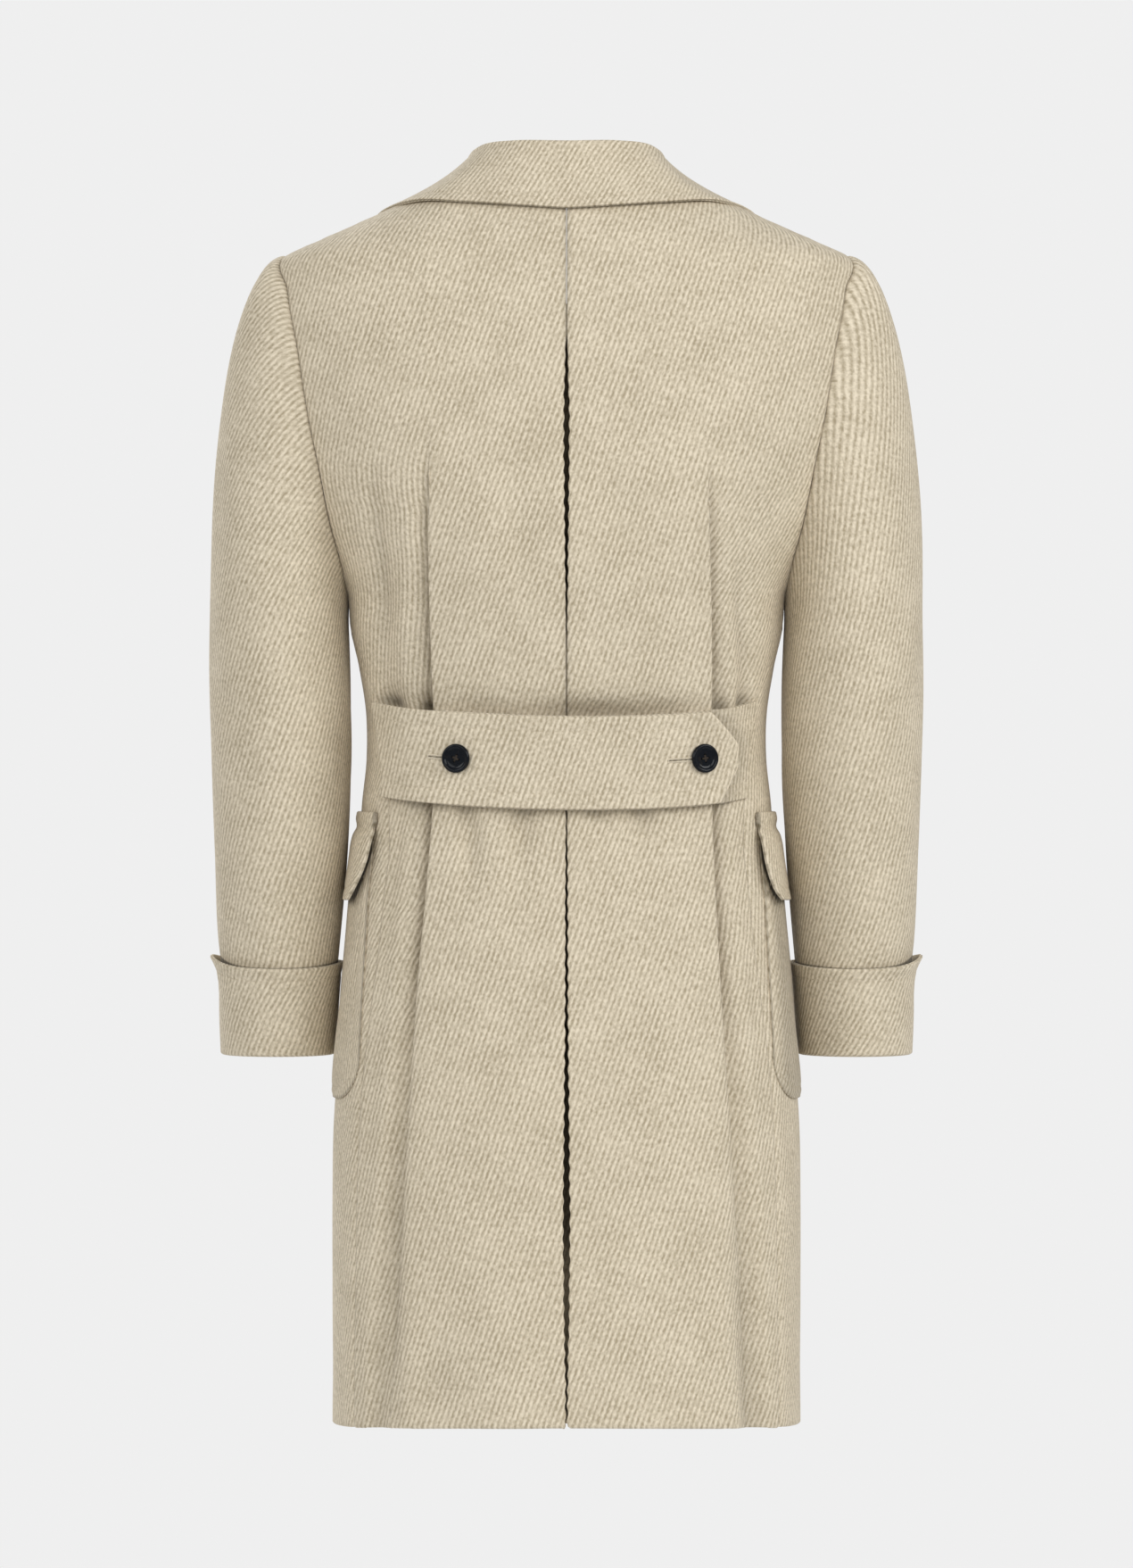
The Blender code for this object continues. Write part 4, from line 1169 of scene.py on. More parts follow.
@dataclass
class FrontPanel:
    """One front, from the side seam, armhole and shoulder to its edge and roll line."""

    form: FrontForm
    side: Side
    cloth: float = 0.0018
    edge_cloth: float = 0.0024
    hem_depth: float = 0.045
    stitch_in: float = 0.009
    swell: float = 0.0005
    columns: int = 60
    edge_columns: int = 14
    edge_strip: float = 0.018
    skirt_rows: int = 210
    shoulder_rows: int = 24

    def sheet(self) -> Sheet:
        """Lays the front out.

        Returns:
            The sheet.
        """
        body = self.form.body
        z = body.rows(self.skirt_rows, self.shoulder_rows)[:, None]
        near = body.panel_edge(z, body.armhole_front) - body.half_round(z)
        far = self.form.end(z)
        strip = np.minimum(self.edge_strip, 0.3 * (far - near))
        share = np.linspace(0.0, 1.0, self.columns + 1)[:-1] ** 1.1
        past = near * (1 - share) + (far - strip) * share
        past = np.hstack([past, far - strip * np.linspace(1.0, 0.0, self.edge_columns)])
        to_seam, to_edge = past - near, far - past
        seam = seam_puff(to_seam, z, 7.0 + self.side.value)
        inside = ramp(0.0, 0.024, to_seam) * ramp(0.0, 0.02, to_edge)
        soft = all_relief(FRONT_CREASES[self.side], past, z)
        soft = soft + self.swell * ripple(past + 0.2 * z, 0.12, 8.0) * ripple(z, 0.17, 9.0)
        sewn = stitch_dip(to_edge - self.stitch_in, *LIGHT_DIP) * (z < self.form.break_z)
        outer = self.form.place(self.side, z, past, seam + soft * inside + sewn)
        weave = weave_of(outer, rise_from=past.shape[1] // 2)
        weave[..., 0] = self.side.value * past
        hem = 1.0 - ramp(self.hem_depth - HEM_FADE, self.hem_depth, z - body.hem_z)
        thick = self.cloth + (self.edge_cloth - self.cloth) * hem
        return Sheet(self.side.named("front"), outer, weave, thick).turned(self.side is Side.LEFT)

    def stitch_line(self, sheet: Sheet) -> Line:
        """The line of stitches inside the front edge, below the lapel.

        Args:
            sheet: The front's sheet.

        Returns:
            Its points and normals.
        """
        z = self.form.body.rows(self.skirt_rows, self.shoulder_rows)
        rows = np.nonzero((z < self.form.break_z - 0.004) & (z > self.form.body.hem_z + 0.006))[0]
        back = int(round(self.stitch_in / self.edge_strip * (self.edge_columns - 1)))
        column = back if self.side is Side.LEFT else sheet.outer.shape[1] - 1 - back
        return sheet.line(rows, column)


@dataclass
class Lapel:
    """The turned-back top of a front, rolling over its edge and lying on it."""

    form: FrontForm
    side: Side
    cloth: float = 0.0024
    gorge_z: float = -0.06
    slant: float = 0.36
    top_clear: float = 0.6
    bloom: float = 0.0022
    stitch_in: float = 0.009
    roll_path: tuple[tuple[float, float], ...] = (
        (0.0011, 0.0022), (0.0019, 0.0008), (0.0018, -0.0008), (0.001, -0.0018),
    )
    rows: int = 70
    columns: int = 34

    def sheet(self) -> Sheet:
        """Lays the lapel out, from its outer edge in to the roll line.

        Returns:
            The sheet.
        """
        at = np.linspace(0.0, 1.0, self.rows)[:, None]
        z = self.form.break_z + (self.gorge_z - self.form.break_z) * at
        width = LAPEL.smooth("width", at)
        share = 1.0 - np.linspace(0.0, 1.0, self.columns)[None, :] ** 0.9
        low = z - self.slant * width * share
        end = self.form.end(z)
        past = end - width * share
        clear = LAY_GAP * (1.0 + self.top_clear * at) + self.cloth
        sewn = stitch_dip(width * (1 - share) - self.stitch_in, *LIGHT_DIP)
        bloom = self.bloom * ramp(0.03, 0.0, width * share) * ramp(0.0, 0.25, at)
        outer = self.form.place(self.side, low, past, clear + sewn + bloom)
        roll = [
            self.form.place(self.side, z, end + out, lift + bloom[:, -1:])
            for out, lift in self.roll_path
        ]
        outer = np.hstack([outer, *roll])
        weave = weave_of(outer, sign=self.side.value)
        sheet = Sheet(self.side.named("lapel"), outer, weave, self.cloth * 0.7, layers=2)
        return sheet.turned(self.side is Side.LEFT)


@dataclass
class Sleeve:
    """A sleeve: a tube from the wrist to the armpit, and a rounded head up to the armhole seam."""

    body: BodyForm
    side: Side
    cloth: float = 0.0016
    cap_round: float = 2.14
    cap_flat: float = 1.35
    wrist_short: float = 0.0042
    cuff_top: float = -0.655
    cuff_dip: float = 0.006
    cuff_lip: float = 0.0045
    cuff_rows: Sizes = (-0.006, -0.001, 0.0006, 0.0013, 0.002, 0.0028, 0.004, 0.008)
    wrist_rows: int = 12
    swell: float = 0.0005
    cuff_shade: float = 0.85
    weave_turn: float = -0.5
    weave_lean: float = 4.5
    columns: int = 96
    tube_rows: int = 100
    cap_rows: int = 46

    def turns(self) -> Array:
        """Directions round the sleeve, from the inside by the front, the outside and the back."""
        return math.pi + 2 * math.pi * np.arange(self.columns) / self.columns

    def ring(self, z: Array, turn: Array, grown: Array | float = 0.0) -> Array:
        """Points of the sleeve's tube.

        Args:
            z: Heights.
            turn: Directions, from the outside round the back to the inside.
            grown: How far the points stand off the tube.

        Returns:
            The points.
        """
        z, turn, grown = np.broadcast_arrays(z, turn, grown)
        x = SLEEVE.smooth("x", z) + (SLEEVE.smooth("half_width", z) + grown) * np.cos(turn)
        y = SLEEVE.smooth("y", z) - (SLEEVE.smooth("half_depth", z) + grown) * np.sin(turn)
        return np.stack([self.side.value * x, y, z], axis=-1)

    def cuff_line(self, turn: Array) -> Array:
        """The height of the cuff's top edge, by direction round the sleeve."""
        lip = self.cuff_lip * np.maximum(0.0, np.cos(turn)) ** 6
        return self.cuff_top - self.cuff_dip * np.maximum(0.0, np.sin(turn)) + lip

    def heights(self, turn: Array) -> Array:
        """Heights of the tube's rows: level ones, and close ones along the cuff's top edge.

        Args:
            turn: Directions of the columns.

        Returns:
            Rows by columns.
        """
        wrist = np.linspace(SLEEVE.rows[0, 0] + self.wrist_short, self.cuff_top - 0.02, self.wrist_rows)
        above = self.tube_rows - self.wrist_rows - len(self.cuff_rows)
        arm = np.linspace(self.cuff_top + 0.02, SLEEVE.rows[-1, 0], above)
        level = np.ones_like(turn)[None, :]
        along = self.cuff_line(turn)[None, :] + np.array(self.cuff_rows)[:, None]
        return np.concatenate([wrist[:, None] * level, along, arm[:, None] * level])

    def armhole(self, turn: Array) -> Array:
        """Points of the armhole seam.

        Args:
            turn: Directions, from the shoulder tip round the back to the armpit.

        Returns:
            The points.
        """
        z = self.body.armhole_middle + self.body.armhole_half * np.cos(turn)
        depth = np.where(np.sin(turn) >= 0, -self.body.armhole_back, self.body.armhole_front)
        s = self.side.value * self.body.panel_edge(z, depth)
        return self.body.skin(z, s)

    def cap(self, turn: Array) -> Array:
        """Rows of the sleeve head, from the tube up to the armhole.

        Args:
            turn: Directions of the columns.

        Returns:
            A grid of points.
        """
        top_z = SLEEVE.rows[-1, 0]
        foot, top = self.ring(np.array(top_z), turn), self.armhole(turn)
        power = self.cap_flat + (self.cap_round - self.cap_flat) * np.maximum(0.0, np.cos(turn))
        t = np.linspace(0.0, 1.0, self.cap_rows + 1)[1:, None]
        up = np.sin(t * math.pi / 2)
        out = (1.0 - up**power) ** (1.0 / power)
        flat = top[None, :, :2] + (foot - top)[None, :, :2] * out[..., None]
        height = foot[None, :, 2] + (top - foot)[None, :, 2] * up
        return np.concatenate([flat, height[..., None]], axis=-1)

    def sheet(self) -> Sheet:
        """Lays the sleeve out.

        Returns:
            The sheet.
        """
        turn = self.turns()
        outer = np.concatenate([self.ring(self.heights(turn), turn[None, :]), self.cap(turn)])
        weave = weave_of(outer, closed=True, zero=self.columns // 2)
        weave[self.tube_rows :, :, 0] = weave[self.tube_rows - 1, :, 0]
        height = outer[..., 2]
        soft = all_relief(SLEEVE_CREASES[self.side], weave[:, :-1, 0], height)
        soft = soft + self.swell * ripple(weave[:, :-1, 0] + 0.4 * height, 0.09, 1.0 + self.side.value)
        soft = soft * ramp(-0.73, -0.69, height)
        # Painted shadow on the sleeve just above the cuff's top edge
        painted_shading = -self.cuff_shade * ramp(0.003, 0.001, height - self.cuff_line(turn)[None, :])
        last = weave[-1:, :-1, 1] - weave[:, :-1, 1]
        soft = soft * ramp(0.0, 0.03, last)
        soft = soft + seam_puff(last, 0.07 * turn[None, :], 5.0)
        outer = outer - self.side.value * soft[..., None] * grid_normals(outer, True)
        weave[..., 0] *= -self.side.value
        weave = turned_weave(weave, self.weave_turn - self.side.value * self.weave_lean)
        sheet = Sheet(self.side.named("sleeve"), outer, weave, self.cloth, closed=True, painted_shading=painted_shading)
        return sheet.turned(self.side is Side.RIGHT)


@dataclass
class Cuff:
    """A turned-back cuff: folded in at the wrist, and standing off the sleeve a little at its top."""

    sleeve: Sleeve
    cloth: float = 0.003
    inside_cloth: float = 0.0013
    inside_depth: float = 0.018
    inside_set: float = 0.0036
    flare: float = 0.005
    flare_power: float = 8.0
    flare_inside: float = 0.2
    stitch_in: float = 0.01
    wave: float = 0.0006
    fold_rows: int = 9
    fold_deep: float = 0.0022
    edge_rows: Sizes = (
        0.03, 0.02, 0.0135, 0.0115, 0.01, 0.0085, 0.007, 0.005, 0.003, 0.0012, 0.0,
    )
    weave_turn: float = 7.0

    def sheet(self) -> tuple[Sheet, int]:
        """Lays the cuff out, from inside the wrist, round its lower fold and up to its top edge.

        Returns:
            The sheet, and the row that is stitched.
        """
        sleeve = self.sleeve
        turn = sleeve.turns()
        low = SLEEVE.rows[0, 0]
        top = sleeve.cuff_line(turn)
        outside = self.flare_inside + (1 - self.flare_inside) * ((1 + np.cos(turn)) / 2) ** 2
        out_set = LAY_GAP + self.cloth
        half = (out_set + self.inside_set) / 2
        rows = []
        for share in np.linspace(1.0, 0.0, 6):
            z = low + self.fold_deep + self.inside_depth * share
            rows.append(sleeve.ring(z, turn, -self.inside_set))
        for angle in np.linspace(math.pi, 2 * math.pi, self.fold_rows + 2)[1:-1]:
            z = low + self.fold_deep + self.fold_deep * math.sin(angle)
            rows.append(sleeve.ring(z, turn, out_set - half + half * math.cos(angle)))
        thick = [self.inside_cloth] * len(rows)
        length = sleeve.cuff_top - low
        near = np.array(self.edge_rows) / length
        for share in np.hstack([np.linspace(0.03, 1 - 0.04 / length, 14), 1 - near]):
            sewn = stitch_dip((1 - share) * length - self.stitch_in)
            wave = self.wave * ripple(turn, 1.9, 2.0 + sleeve.side.value) * share**4
            grown = out_set + self.flare * share**self.flare_power * outside + sewn + wave
            rows.append(sleeve.ring(low + (top - low) * share, turn, grown))
            thick.append(self.inside_cloth + (self.cloth - self.inside_cloth) * min(1.0, share / 0.1))
        outer = np.array(rows)
        weave = weave_of(outer, closed=True, zero=sleeve.columns // 2)
        weave[-len(near) :, :, 0] = weave[-len(near) - 1, :, 0]
        weave[..., 0] *= -sleeve.side.value
        weave = turned_weave(weave, self.weave_turn)
        name, thickness = sleeve.side.named("cuff"), np.array(thick)[:, None]
        sheet = Sheet(name, outer, weave, thickness, closed=True, layers=2)
        stitched = len(rows) - len(near) + self.edge_rows.index(self.stitch_in)
        return sheet.turned(sleeve.side is Side.RIGHT), stitched


@dataclass
class Collar:
    """The collar: a stand round the neck and a broad fall over the shoulders."""

    body: BodyForm
    cloth: float = 0.003
    roll: float = 0.0042
    bulge: float = -0.001
    hollow: float = -0.003
    hollow_at: float = 0.5
    hollow_width: float = 0.11
    edge_stand: float = 0.0014
    tip_stand: float = -0.0024
    stitch_in: float = 0.01
    wave: float = 0.0006
    weave_turn: float = 10.0
    stretch: float = 1.1
    columns: int = 220
    fall_rows: Sizes = (0.0, 0.0008, 0.002, 0.0045, 0.007, 0.0085, 0.01, 0.0115, 0.013, 0.016)

    def sections(self) -> dict[str, Array]:
        """Works the collar's columns out.

        Returns:
            Their places, folds, feet of the stand, edges, and ways out from the neck.
        """
        at = np.linspace(-1.0, 1.0, self.columns)
        side = np.where(at < 0, -1.0, 1.0)
        row = {name: COLLAR.smooth(name, np.abs(at)) for name in COLLAR.names[1:]}
        fold, foot = (
            np.stack([side * row[f"{part}_x"], row[f"{part}_y"], row[f"{part}_z"]], axis=-1)
            for part in ("fold", "foot")
        )
        edge_s = side * self.body.along_at_turn(row["edge_z"], row["edge_turn"])
        stand = self.edge_stand + self.tip_stand * hump(np.abs(at) - 0.55, 0.12)
        edge = self.body.lifted(row["edge_z"], edge_s, LAY_GAP + self.cloth + stand)
        out = unit((edge - foot) * np.array([1.0, 1.0, 0.0]))
        return {"at": at, "fold": fold, "foot": foot, "edge": edge, "out": out}

    def sheet(self) -> tuple[Sheet, int]:
        """Lays the collar out, from the fall's edge up, over the fold and down the stand.

        Returns:
            The sheet, and the row that is stitched.
        """
        part = self.sections()
        up = np.array([0.0, 0.0, 1.0])
        centre = part["fold"] - self.roll * up
        over = centre + self.roll * part["out"]
        length = np.linalg.norm(part["edge"] - over, axis=1).mean()
        near = np.array(self.fall_rows) / length
        shares = np.hstack([1.0 - near, np.linspace(1.0 - near[-1], 0.0, 14)[1:]])
        rows = []
        hollow = self.hollow * hump(np.abs(part["at"]) - self.hollow_at, self.hollow_width)
        for share in shares:
            bulge = (self.bulge + hollow) * math.sin(math.pi * share)
            sewn = stitch_dip((1 - share) * length - self.stitch_in)
            wave = self.wave * ripple(part["at"], 0.42, 3.0) * math.sin(math.pi * share)
            off = (bulge + wave + sewn)[:, None] * (part["out"] + up)
            rows.append(over + (part["edge"] - over) * share + off)
        for angle in np.linspace(0.0, math.pi, 9)[1:]:
            way = math.cos(angle) * part["out"] + math.sin(angle) * up
            rows.append(centre + self.roll * way)
        inside = rows[-1]
        for share in np.linspace(0.0, 1.0, 9)[1:]:
            rows.append(inside + (part["foot"] - inside) * share)
        outer = np.array(rows)
        weave = turned_weave(weave_of(outer, zero=self.columns // 2), self.weave_turn, self.stretch)
        stitched = self.fall_rows.index(self.stitch_in)
        return Sheet("collar", outer, weave, self.cloth, layers=2), stitched


@dataclass
class HalfBelt:
    """The half belt: a right piece below, and a left piece that buttons over it with a blunt point."""

    body: BodyForm
    half_height: float = 0.0388
    lift: float = 0.0082
    cloth: float = 0.003
    under_end: float = -0.1
    over_clear: float = 0.0022
    tip_lift: float = 0.0016
    tip_length: float = 0.018
    tip_roll: float = 0.0012
    tip_groove: float = 0.0014
    # Strengths of the painted highlight on the point's edges and of the painted shade on the lower piece
    # beside it
    tip_light: float = 0.9
    tip_shade: float = 0.22
    under_turn: float = -11.0
    stretch: float = 1.07
    seam_x: float = 0.15
    seen_from: float = 0.8
    stitch_in: float = 0.012
    corner: float = 0.011
    columns: int = 120
    low_rows: Sizes = (
        0.0, 0.0007, 0.0017, 0.0035, 0.006, 0.0085, 0.0103, 0.012, 0.0137, 0.016, 0.021,
    )
    middle_rows: Sizes = (0.02716, 0.0325, 0.0388, 0.04656, 0.0515)

    @property
    def end_columns(self) -> Sizes:
        """Distances of the last columns from a free end, as close as the rows at the lower edge."""
        return self.low_rows[-2::-1]

    @property
    def over(self) -> float:
        """How far the upper piece stands above the lower one's place."""
        return self.cloth + self.over_clear

    @property
    def height(self) -> float:
        """The belt's full height."""
        return 2 * self.half_height

    def row_places(self) -> Array:
        """Heights of the rows above the lower edge."""
        return np.array([*self.low_rows, *self.middle_rows, *(self.height - np.array(self.low_rows[::-1]))])

    def place(self, s: Array, up: Array, lift: Array | float) -> Array:
        """Points above the belt's lower face.

        Args:
            s: Distances round from centre back.
            up: Shares of the belt's height.
            lift: Heights above its lower face.

        Returns:
            The points.
        """
        s, up = np.broadcast_arrays(s, up)
        z = BELT_LINE.smooth("z", s) + self.half_height * (2 * up - 1)
        far = self.body.panel_edge(z, -self.body.armhole_back)
        near = self.body.along_at_x(z, PLEAT.smooth("x", z))
        base = self.lift + (LAY_GAP - self.lift) * ramp(near, far, np.abs(s))
        return self.body.lifted(z, s, base + lift)

    def seam(self, up: Array, side: Side) -> Array:
        """Distances round to the side seam where a piece is sewn in."""
        z = BELT_LINE.smooth("z", side.value * self.seam_x) + self.half_height * (2 * up - 1)
        return side.value * (self.body.panel_edge(z, -self.body.armhole_back) - self.body.seam_gap)

    def piece(self, name: str, start: Array, end: Array, lift: float, pointed: bool) -> Sheet:
        """Lays one piece of the belt out.

        Args:
            name: The node's name.
            start: Where each row starts.
            end: Where each row ends.
            lift: How far its lower face stands above the belt's place.
            pointed: Whether its right end is a free, stitched end.

        Returns:
            The sheet.
        """
        rows = self.row_places()
        length = float((end - start).mean())
        share = np.linspace(0.0, 1.0, self.columns)
        if pointed:
            tip = 1.0 - np.array(self.end_columns) / length
            share = np.hstack([np.linspace(0.0, tip[0], self.columns)[:-1], tip])
        s = start[:, None] * (1 - share) + end[:, None] * share
        up = (rows / self.height)[:, None]
        from_edge = np.minimum(rows, self.height - rows)[:, None]
        sewn = stitch_dip(from_edge - self.stitch_in, *BELT_DIP)
        if pointed:
            to_end = (1 - share)[None, :] * length
            # Painted highlight along the point's edges
            painted_shading = self.tip_light * ramp(0.003, 0.0014, to_end) + 0.0 * up
            across = stitch_dip(to_end - self.stitch_in, *BELT_DIP)
            sewn = np.minimum(sewn, across * (from_edge > self.corner))
            sewn = sewn + self.tip_lift * ramp(self.tip_length, 0.0, to_end)
            sewn = sewn - self.tip_roll * ramp(0.0026, 0.0, to_end)
        else:
            past_tip = s - BELT_POINT.straight("reach", up)
            sewn = sewn - self.tip_groove * hump(past_tip - 0.0025, 0.0045)
            # Painted shade on the lower piece beside the upper piece's point
            painted_shading = -self.tip_shade * ramp(-0.004, 0.002, past_tip)
            painted_shading = painted_shading * ramp(0.03, 0.004, past_tip)
        outer = self.place(s, up, lift + self.cloth + sewn + self.wave(s, up))
        weave = np.stack(np.broadcast_arrays(self.stretch * s, rows[:, None]), axis=-1)
        weave = weave if pointed else turned_weave(weave, self.under_turn)
        return Sheet(name, outer, weave, self.cloth, layers=2, painted_shading=painted_shading)

    def wave(self, s: Array, up: Array) -> Array:
        """How the belt waves a little along its length."""
        return 0.0005 * ripple(s, 0.075, 1.7) * (2 * up - 1) + 0.0004 * ripple(s, 0.11, 2.9)

    def on_top(self, s: float, lift: float) -> Array:
        """A point above the upper piece's middle line."""
        at, up = np.array(s), np.array(0.5)
        return self.place(at, up, self.over + self.cloth + self.wave(at, up) + lift)

    def sheets(self) -> tuple[Sheet, Sheet]:
        """Lays both pieces out.

        Returns:
            The lower and the upper piece.
        """
        up = self.row_places() / self.height
        start, end = np.full_like(up, self.under_end), BELT_POINT.straight("reach", up)
        under = self.piece("belt_under", start, self.seam(up, Side.RIGHT), 0.0, False)
        return under, self.piece("belt_over", self.seam(up, Side.LEFT), end, self.over, True)

    def stitch_lines(self, over: Sheet, under: Sheet) -> list[Line]:
        """Lines of stitches inside the belt's edges.

        Args:
            over: The upper piece.
            under: The lower piece.

        Returns:
            Points and normals of each line.
        """
        low = self.low_rows.index(self.stitch_in)
        high = len(self.row_places()) - 1 - low
        tip = over.outer.shape[1] - len(self.end_columns) + self.end_columns.index(self.stitch_in)
        seen = slice(int(self.seen_from * self.columns), -2)
        lines = [over.line(row, slice(2, tip + 1)) for row in (low, high)]
        lines.append(over.line(slice(low, high + 1), tip))
        return lines + [under.line(row, seen) for row in (low, high)]


@dataclass
class Pocket:
    """A patch pocket with round lower corners and a flap, lying on a front near the side."""

    form: FrontForm
    side: Side
    cloth: float = 0.0025
    edge_cloth: float = 0.0017
    edge_painted_shading: float = 0.006
    edge_gap: float = 0.0006
    flap_cloth: float = 0.003
    rear: float = -0.058
    slant: float = 0.115
    ahead: float = 0.14
    top_z: float = -0.553
    bottom_z: float = -0.767
    corner: float = 0.036
    flap_top_z: float = -0.529
    flap_height: float = 0.073
    flap_rear_overhang: float = 0.0033
    flap_rear_slant: float = 0.0116
    flap_front_overhang: float = 0.004
    flap_rear_power: float = 3.0
    flap_front_cut: float = 0.012
    flap_front_power: float = 10.0
    flap_stand_off: float = 0.004
    flap_rear_flare: float = 0.006
    flap_bend: float = 0.42
    flap_pinch: float = 0.0018
    flap_pinch_at: float = 0.165
    flap_wave: float = 0.0007
    # Strengths of the painted highlight along the flap's rear edge and of the painted shade at its top
    flap_light: float = 0.45
    flap_shade: float = 0.5
    slack: float = 0.0016
    swell: float = 0.0006
    # Strengths of painted shade under the flap's rear edge and in a thin line round the pocket's edge
    under_shade: float = 0.95
    edge_shade: float = 0.38
    stitch_in: float = 0.009
    edge_places: Sizes = (
        0.0, 0.0008, 0.002, 0.0032, 0.0045, 0.006, 0.0075,
        0.009, 0.0105, 0.0118, 0.013, 0.0145, 0.016, 0.0175,
    )

    def sheet(self) -> Sheet:
        """Lays the pocket out.

        Returns:
            The sheet.
        """
        edge = np.hstack([self.edge_places, np.linspace(0.02, self.corner, 5)])
        middle = np.linspace(self.rear + self.corner, self.ahead - self.corner, 34)[1:-1]
        place = np.hstack([self.rear + edge, middle, self.ahead - edge[::-1]])[None, :]
        to_side = np.minimum(place - self.rear, self.ahead - place)
        inset = np.maximum(0.0, self.corner - to_side)
        low = self.bottom_z + self.corner - np.sqrt(np.maximum(0.0, self.corner**2 - inset**2))
        near = np.array(self.edge_places) / (self.top_z - self.bottom_z)
        middle = np.linspace(near[-1], 1.0 - near[2], 84)[1:]
        share = np.hstack([near, middle, 1.0 - near[2::-1][1:]])[:, None]
        z = low + (self.top_z - low) * share
        from_edge = np.minimum(to_side, z - low)
        sewn = stitch_dip(from_edge - self.stitch_in)
        forward = (place - self.rear) / (self.ahead - self.rear)
        slack = self.slack * np.sin(math.pi * np.clip(forward, 0, 1)) * share**2
        swell = self.swell * ripple(place + 0.5 * z, 0.07, 4.0 + self.side.value)
        swell = swell * np.clip(from_edge / 0.02, 0, 1)
        at = place - self.slant * (self.top_z - z) * (self.ahead - place) / (self.ahead - self.rear)
        full = ramp(0.0, self.edge_painted_shading, from_edge)
        thick = self.edge_cloth + (self.cloth - self.edge_cloth) * full
        gap = self.edge_gap + (LAY_GAP - self.edge_gap) * full
        outer = self.form.beside(self.side, z, at, gap + thick + sewn + slack + swell)
        down = (self.flap_top_z - z) / self.flap_height
        share = np.clip(down, 0.0, 1.0)
        clear = 1.1 * (self.flap_stand(share) + self.flap_rear_flare * share)
        # Painted shade under the flap's rear edge, round the pocket's edge and over its face
        under = ramp(-0.0036, -0.0018, at - self.flap_rear(share) - clear)
        painted_shading = -self.under_shade * under * ramp(0.1, 0.3, down) * ramp(1.1, 0.96, down)
        painted_shading = np.minimum(painted_shading, -self.edge_shade * ramp(0.0014, 0.0004, from_edge))
        painted_shading = np.minimum(painted_shading, -POCKET_SHADE[self.side] * ramp(0.0, 0.02, place - self.rear))
        weave = weave_of(outer, sign=self.side.value)
        sheet = Sheet(self.side.named("pocket"), outer, weave, thick, painted_shading=painted_shading)
        return sheet.turned(self.side is Side.LEFT)

    def flap_rear(self, share: Array) -> Array:
        """The flap's rear edge.

        Args:
            share: Shares of the flap's height from the top.

        Returns:
            Its places.
        """
        straight = self.rear - self.flap_rear_overhang - self.flap_rear_slant * share
        cut = FLAP_CUT[self.side] * share**self.flap_rear_power + FLAP_ROUND[self.side] * share**14
        return straight + cut + 0.003 * hump(share - self.flap_pinch_at, 0.035)

    def flap_stand(self, share: Array) -> Array:
        """How far the flap stands off at shares of its height from the top, with the pinch of its seam."""
        roll = 0.0006 * hump(share - 0.06, 0.05) - self.flap_pinch * hump(share - self.flap_pinch_at, 0.06)
        return self.flap_stand_off * ramp(0.0, self.flap_bend, share) + roll

    def flap(self) -> Sheet:
        """Lays the flap out, from its free lower edge up to the seam.

        Returns:
            The sheet.
        """
        edge = np.array(self.edge_places) / self.flap_height
        share = np.hstack([1.0 - edge, np.linspace(1.0 - edge[-1], 0.0, 44)[1:]])[:, None]
        z = self.flap_top_z - self.flap_height * share
        rear = self.flap_rear(share)
        ahead = self.ahead + self.flap_front_overhang - self.flap_front_cut * share**self.flap_front_power
        wide = float((ahead - rear).mean())
        near = np.array(self.edge_places) / wide
        middle = np.linspace(near[-1], 1.0 - near[-1], 40)[1:-1]
        across = np.hstack([near, middle, 1.0 - near[::-1]])[None, :]
        place = rear + (ahead - rear) * across
        flare = self.flap_rear_flare * share * ramp(0.0, 1.0, place / rear)
        lift = LAY_GAP + self.flap_cloth + self.flap_stand(share) + flare
        from_edge = np.minimum(np.minimum(across, 1.0 - across) * wide, (1.0 - share) * self.flap_height)
        sewn = stitch_dip(from_edge - self.stitch_in)
        wave = self.flap_wave * ripple(place, 0.06, 2.0 + self.side.value) * share
        outer = self.form.beside(self.side, z, place, lift + sewn + wave)
        # Painted highlight along the flap's rear edge, and painted shade near its top
        beside = ramp(0.0026, 0.001, across * wide)
        light = self.flap_light * ramp(0.2, 0.35, share)
        painted_shading = beside * (light - self.flap_shade * ramp(0.22, 0.12, share))
        weave = weave_of(outer, sign=self.side.value)
        sheet = Sheet(self.side.named("flap"), outer, weave, self.flap_cloth, layers=2, painted_shading=painted_shading)
        return sheet.turned(self.side is Side.LEFT)

    def stitch_lines(self, pocket: Sheet, flap: Sheet) -> list[Line]:
        """Lines of stitches inside the edges of the pocket and the flap.

        Args:
            pocket: The pocket's sheet.
            flap: The flap's sheet.

        Returns:
            Points and normals of each line.
        """
        lines = []
        at = self.edge_places.index(self.stitch_in)
        for sheet, top in ((pocket, -4), (flap, -3)):
            last = sheet.outer.shape[1] - 1 - at
            lines.append(sheet.line(at, slice(at, last + 1)))
            lines += [sheet.line(slice(at, top), column) for column in (at, last)]
        return lines


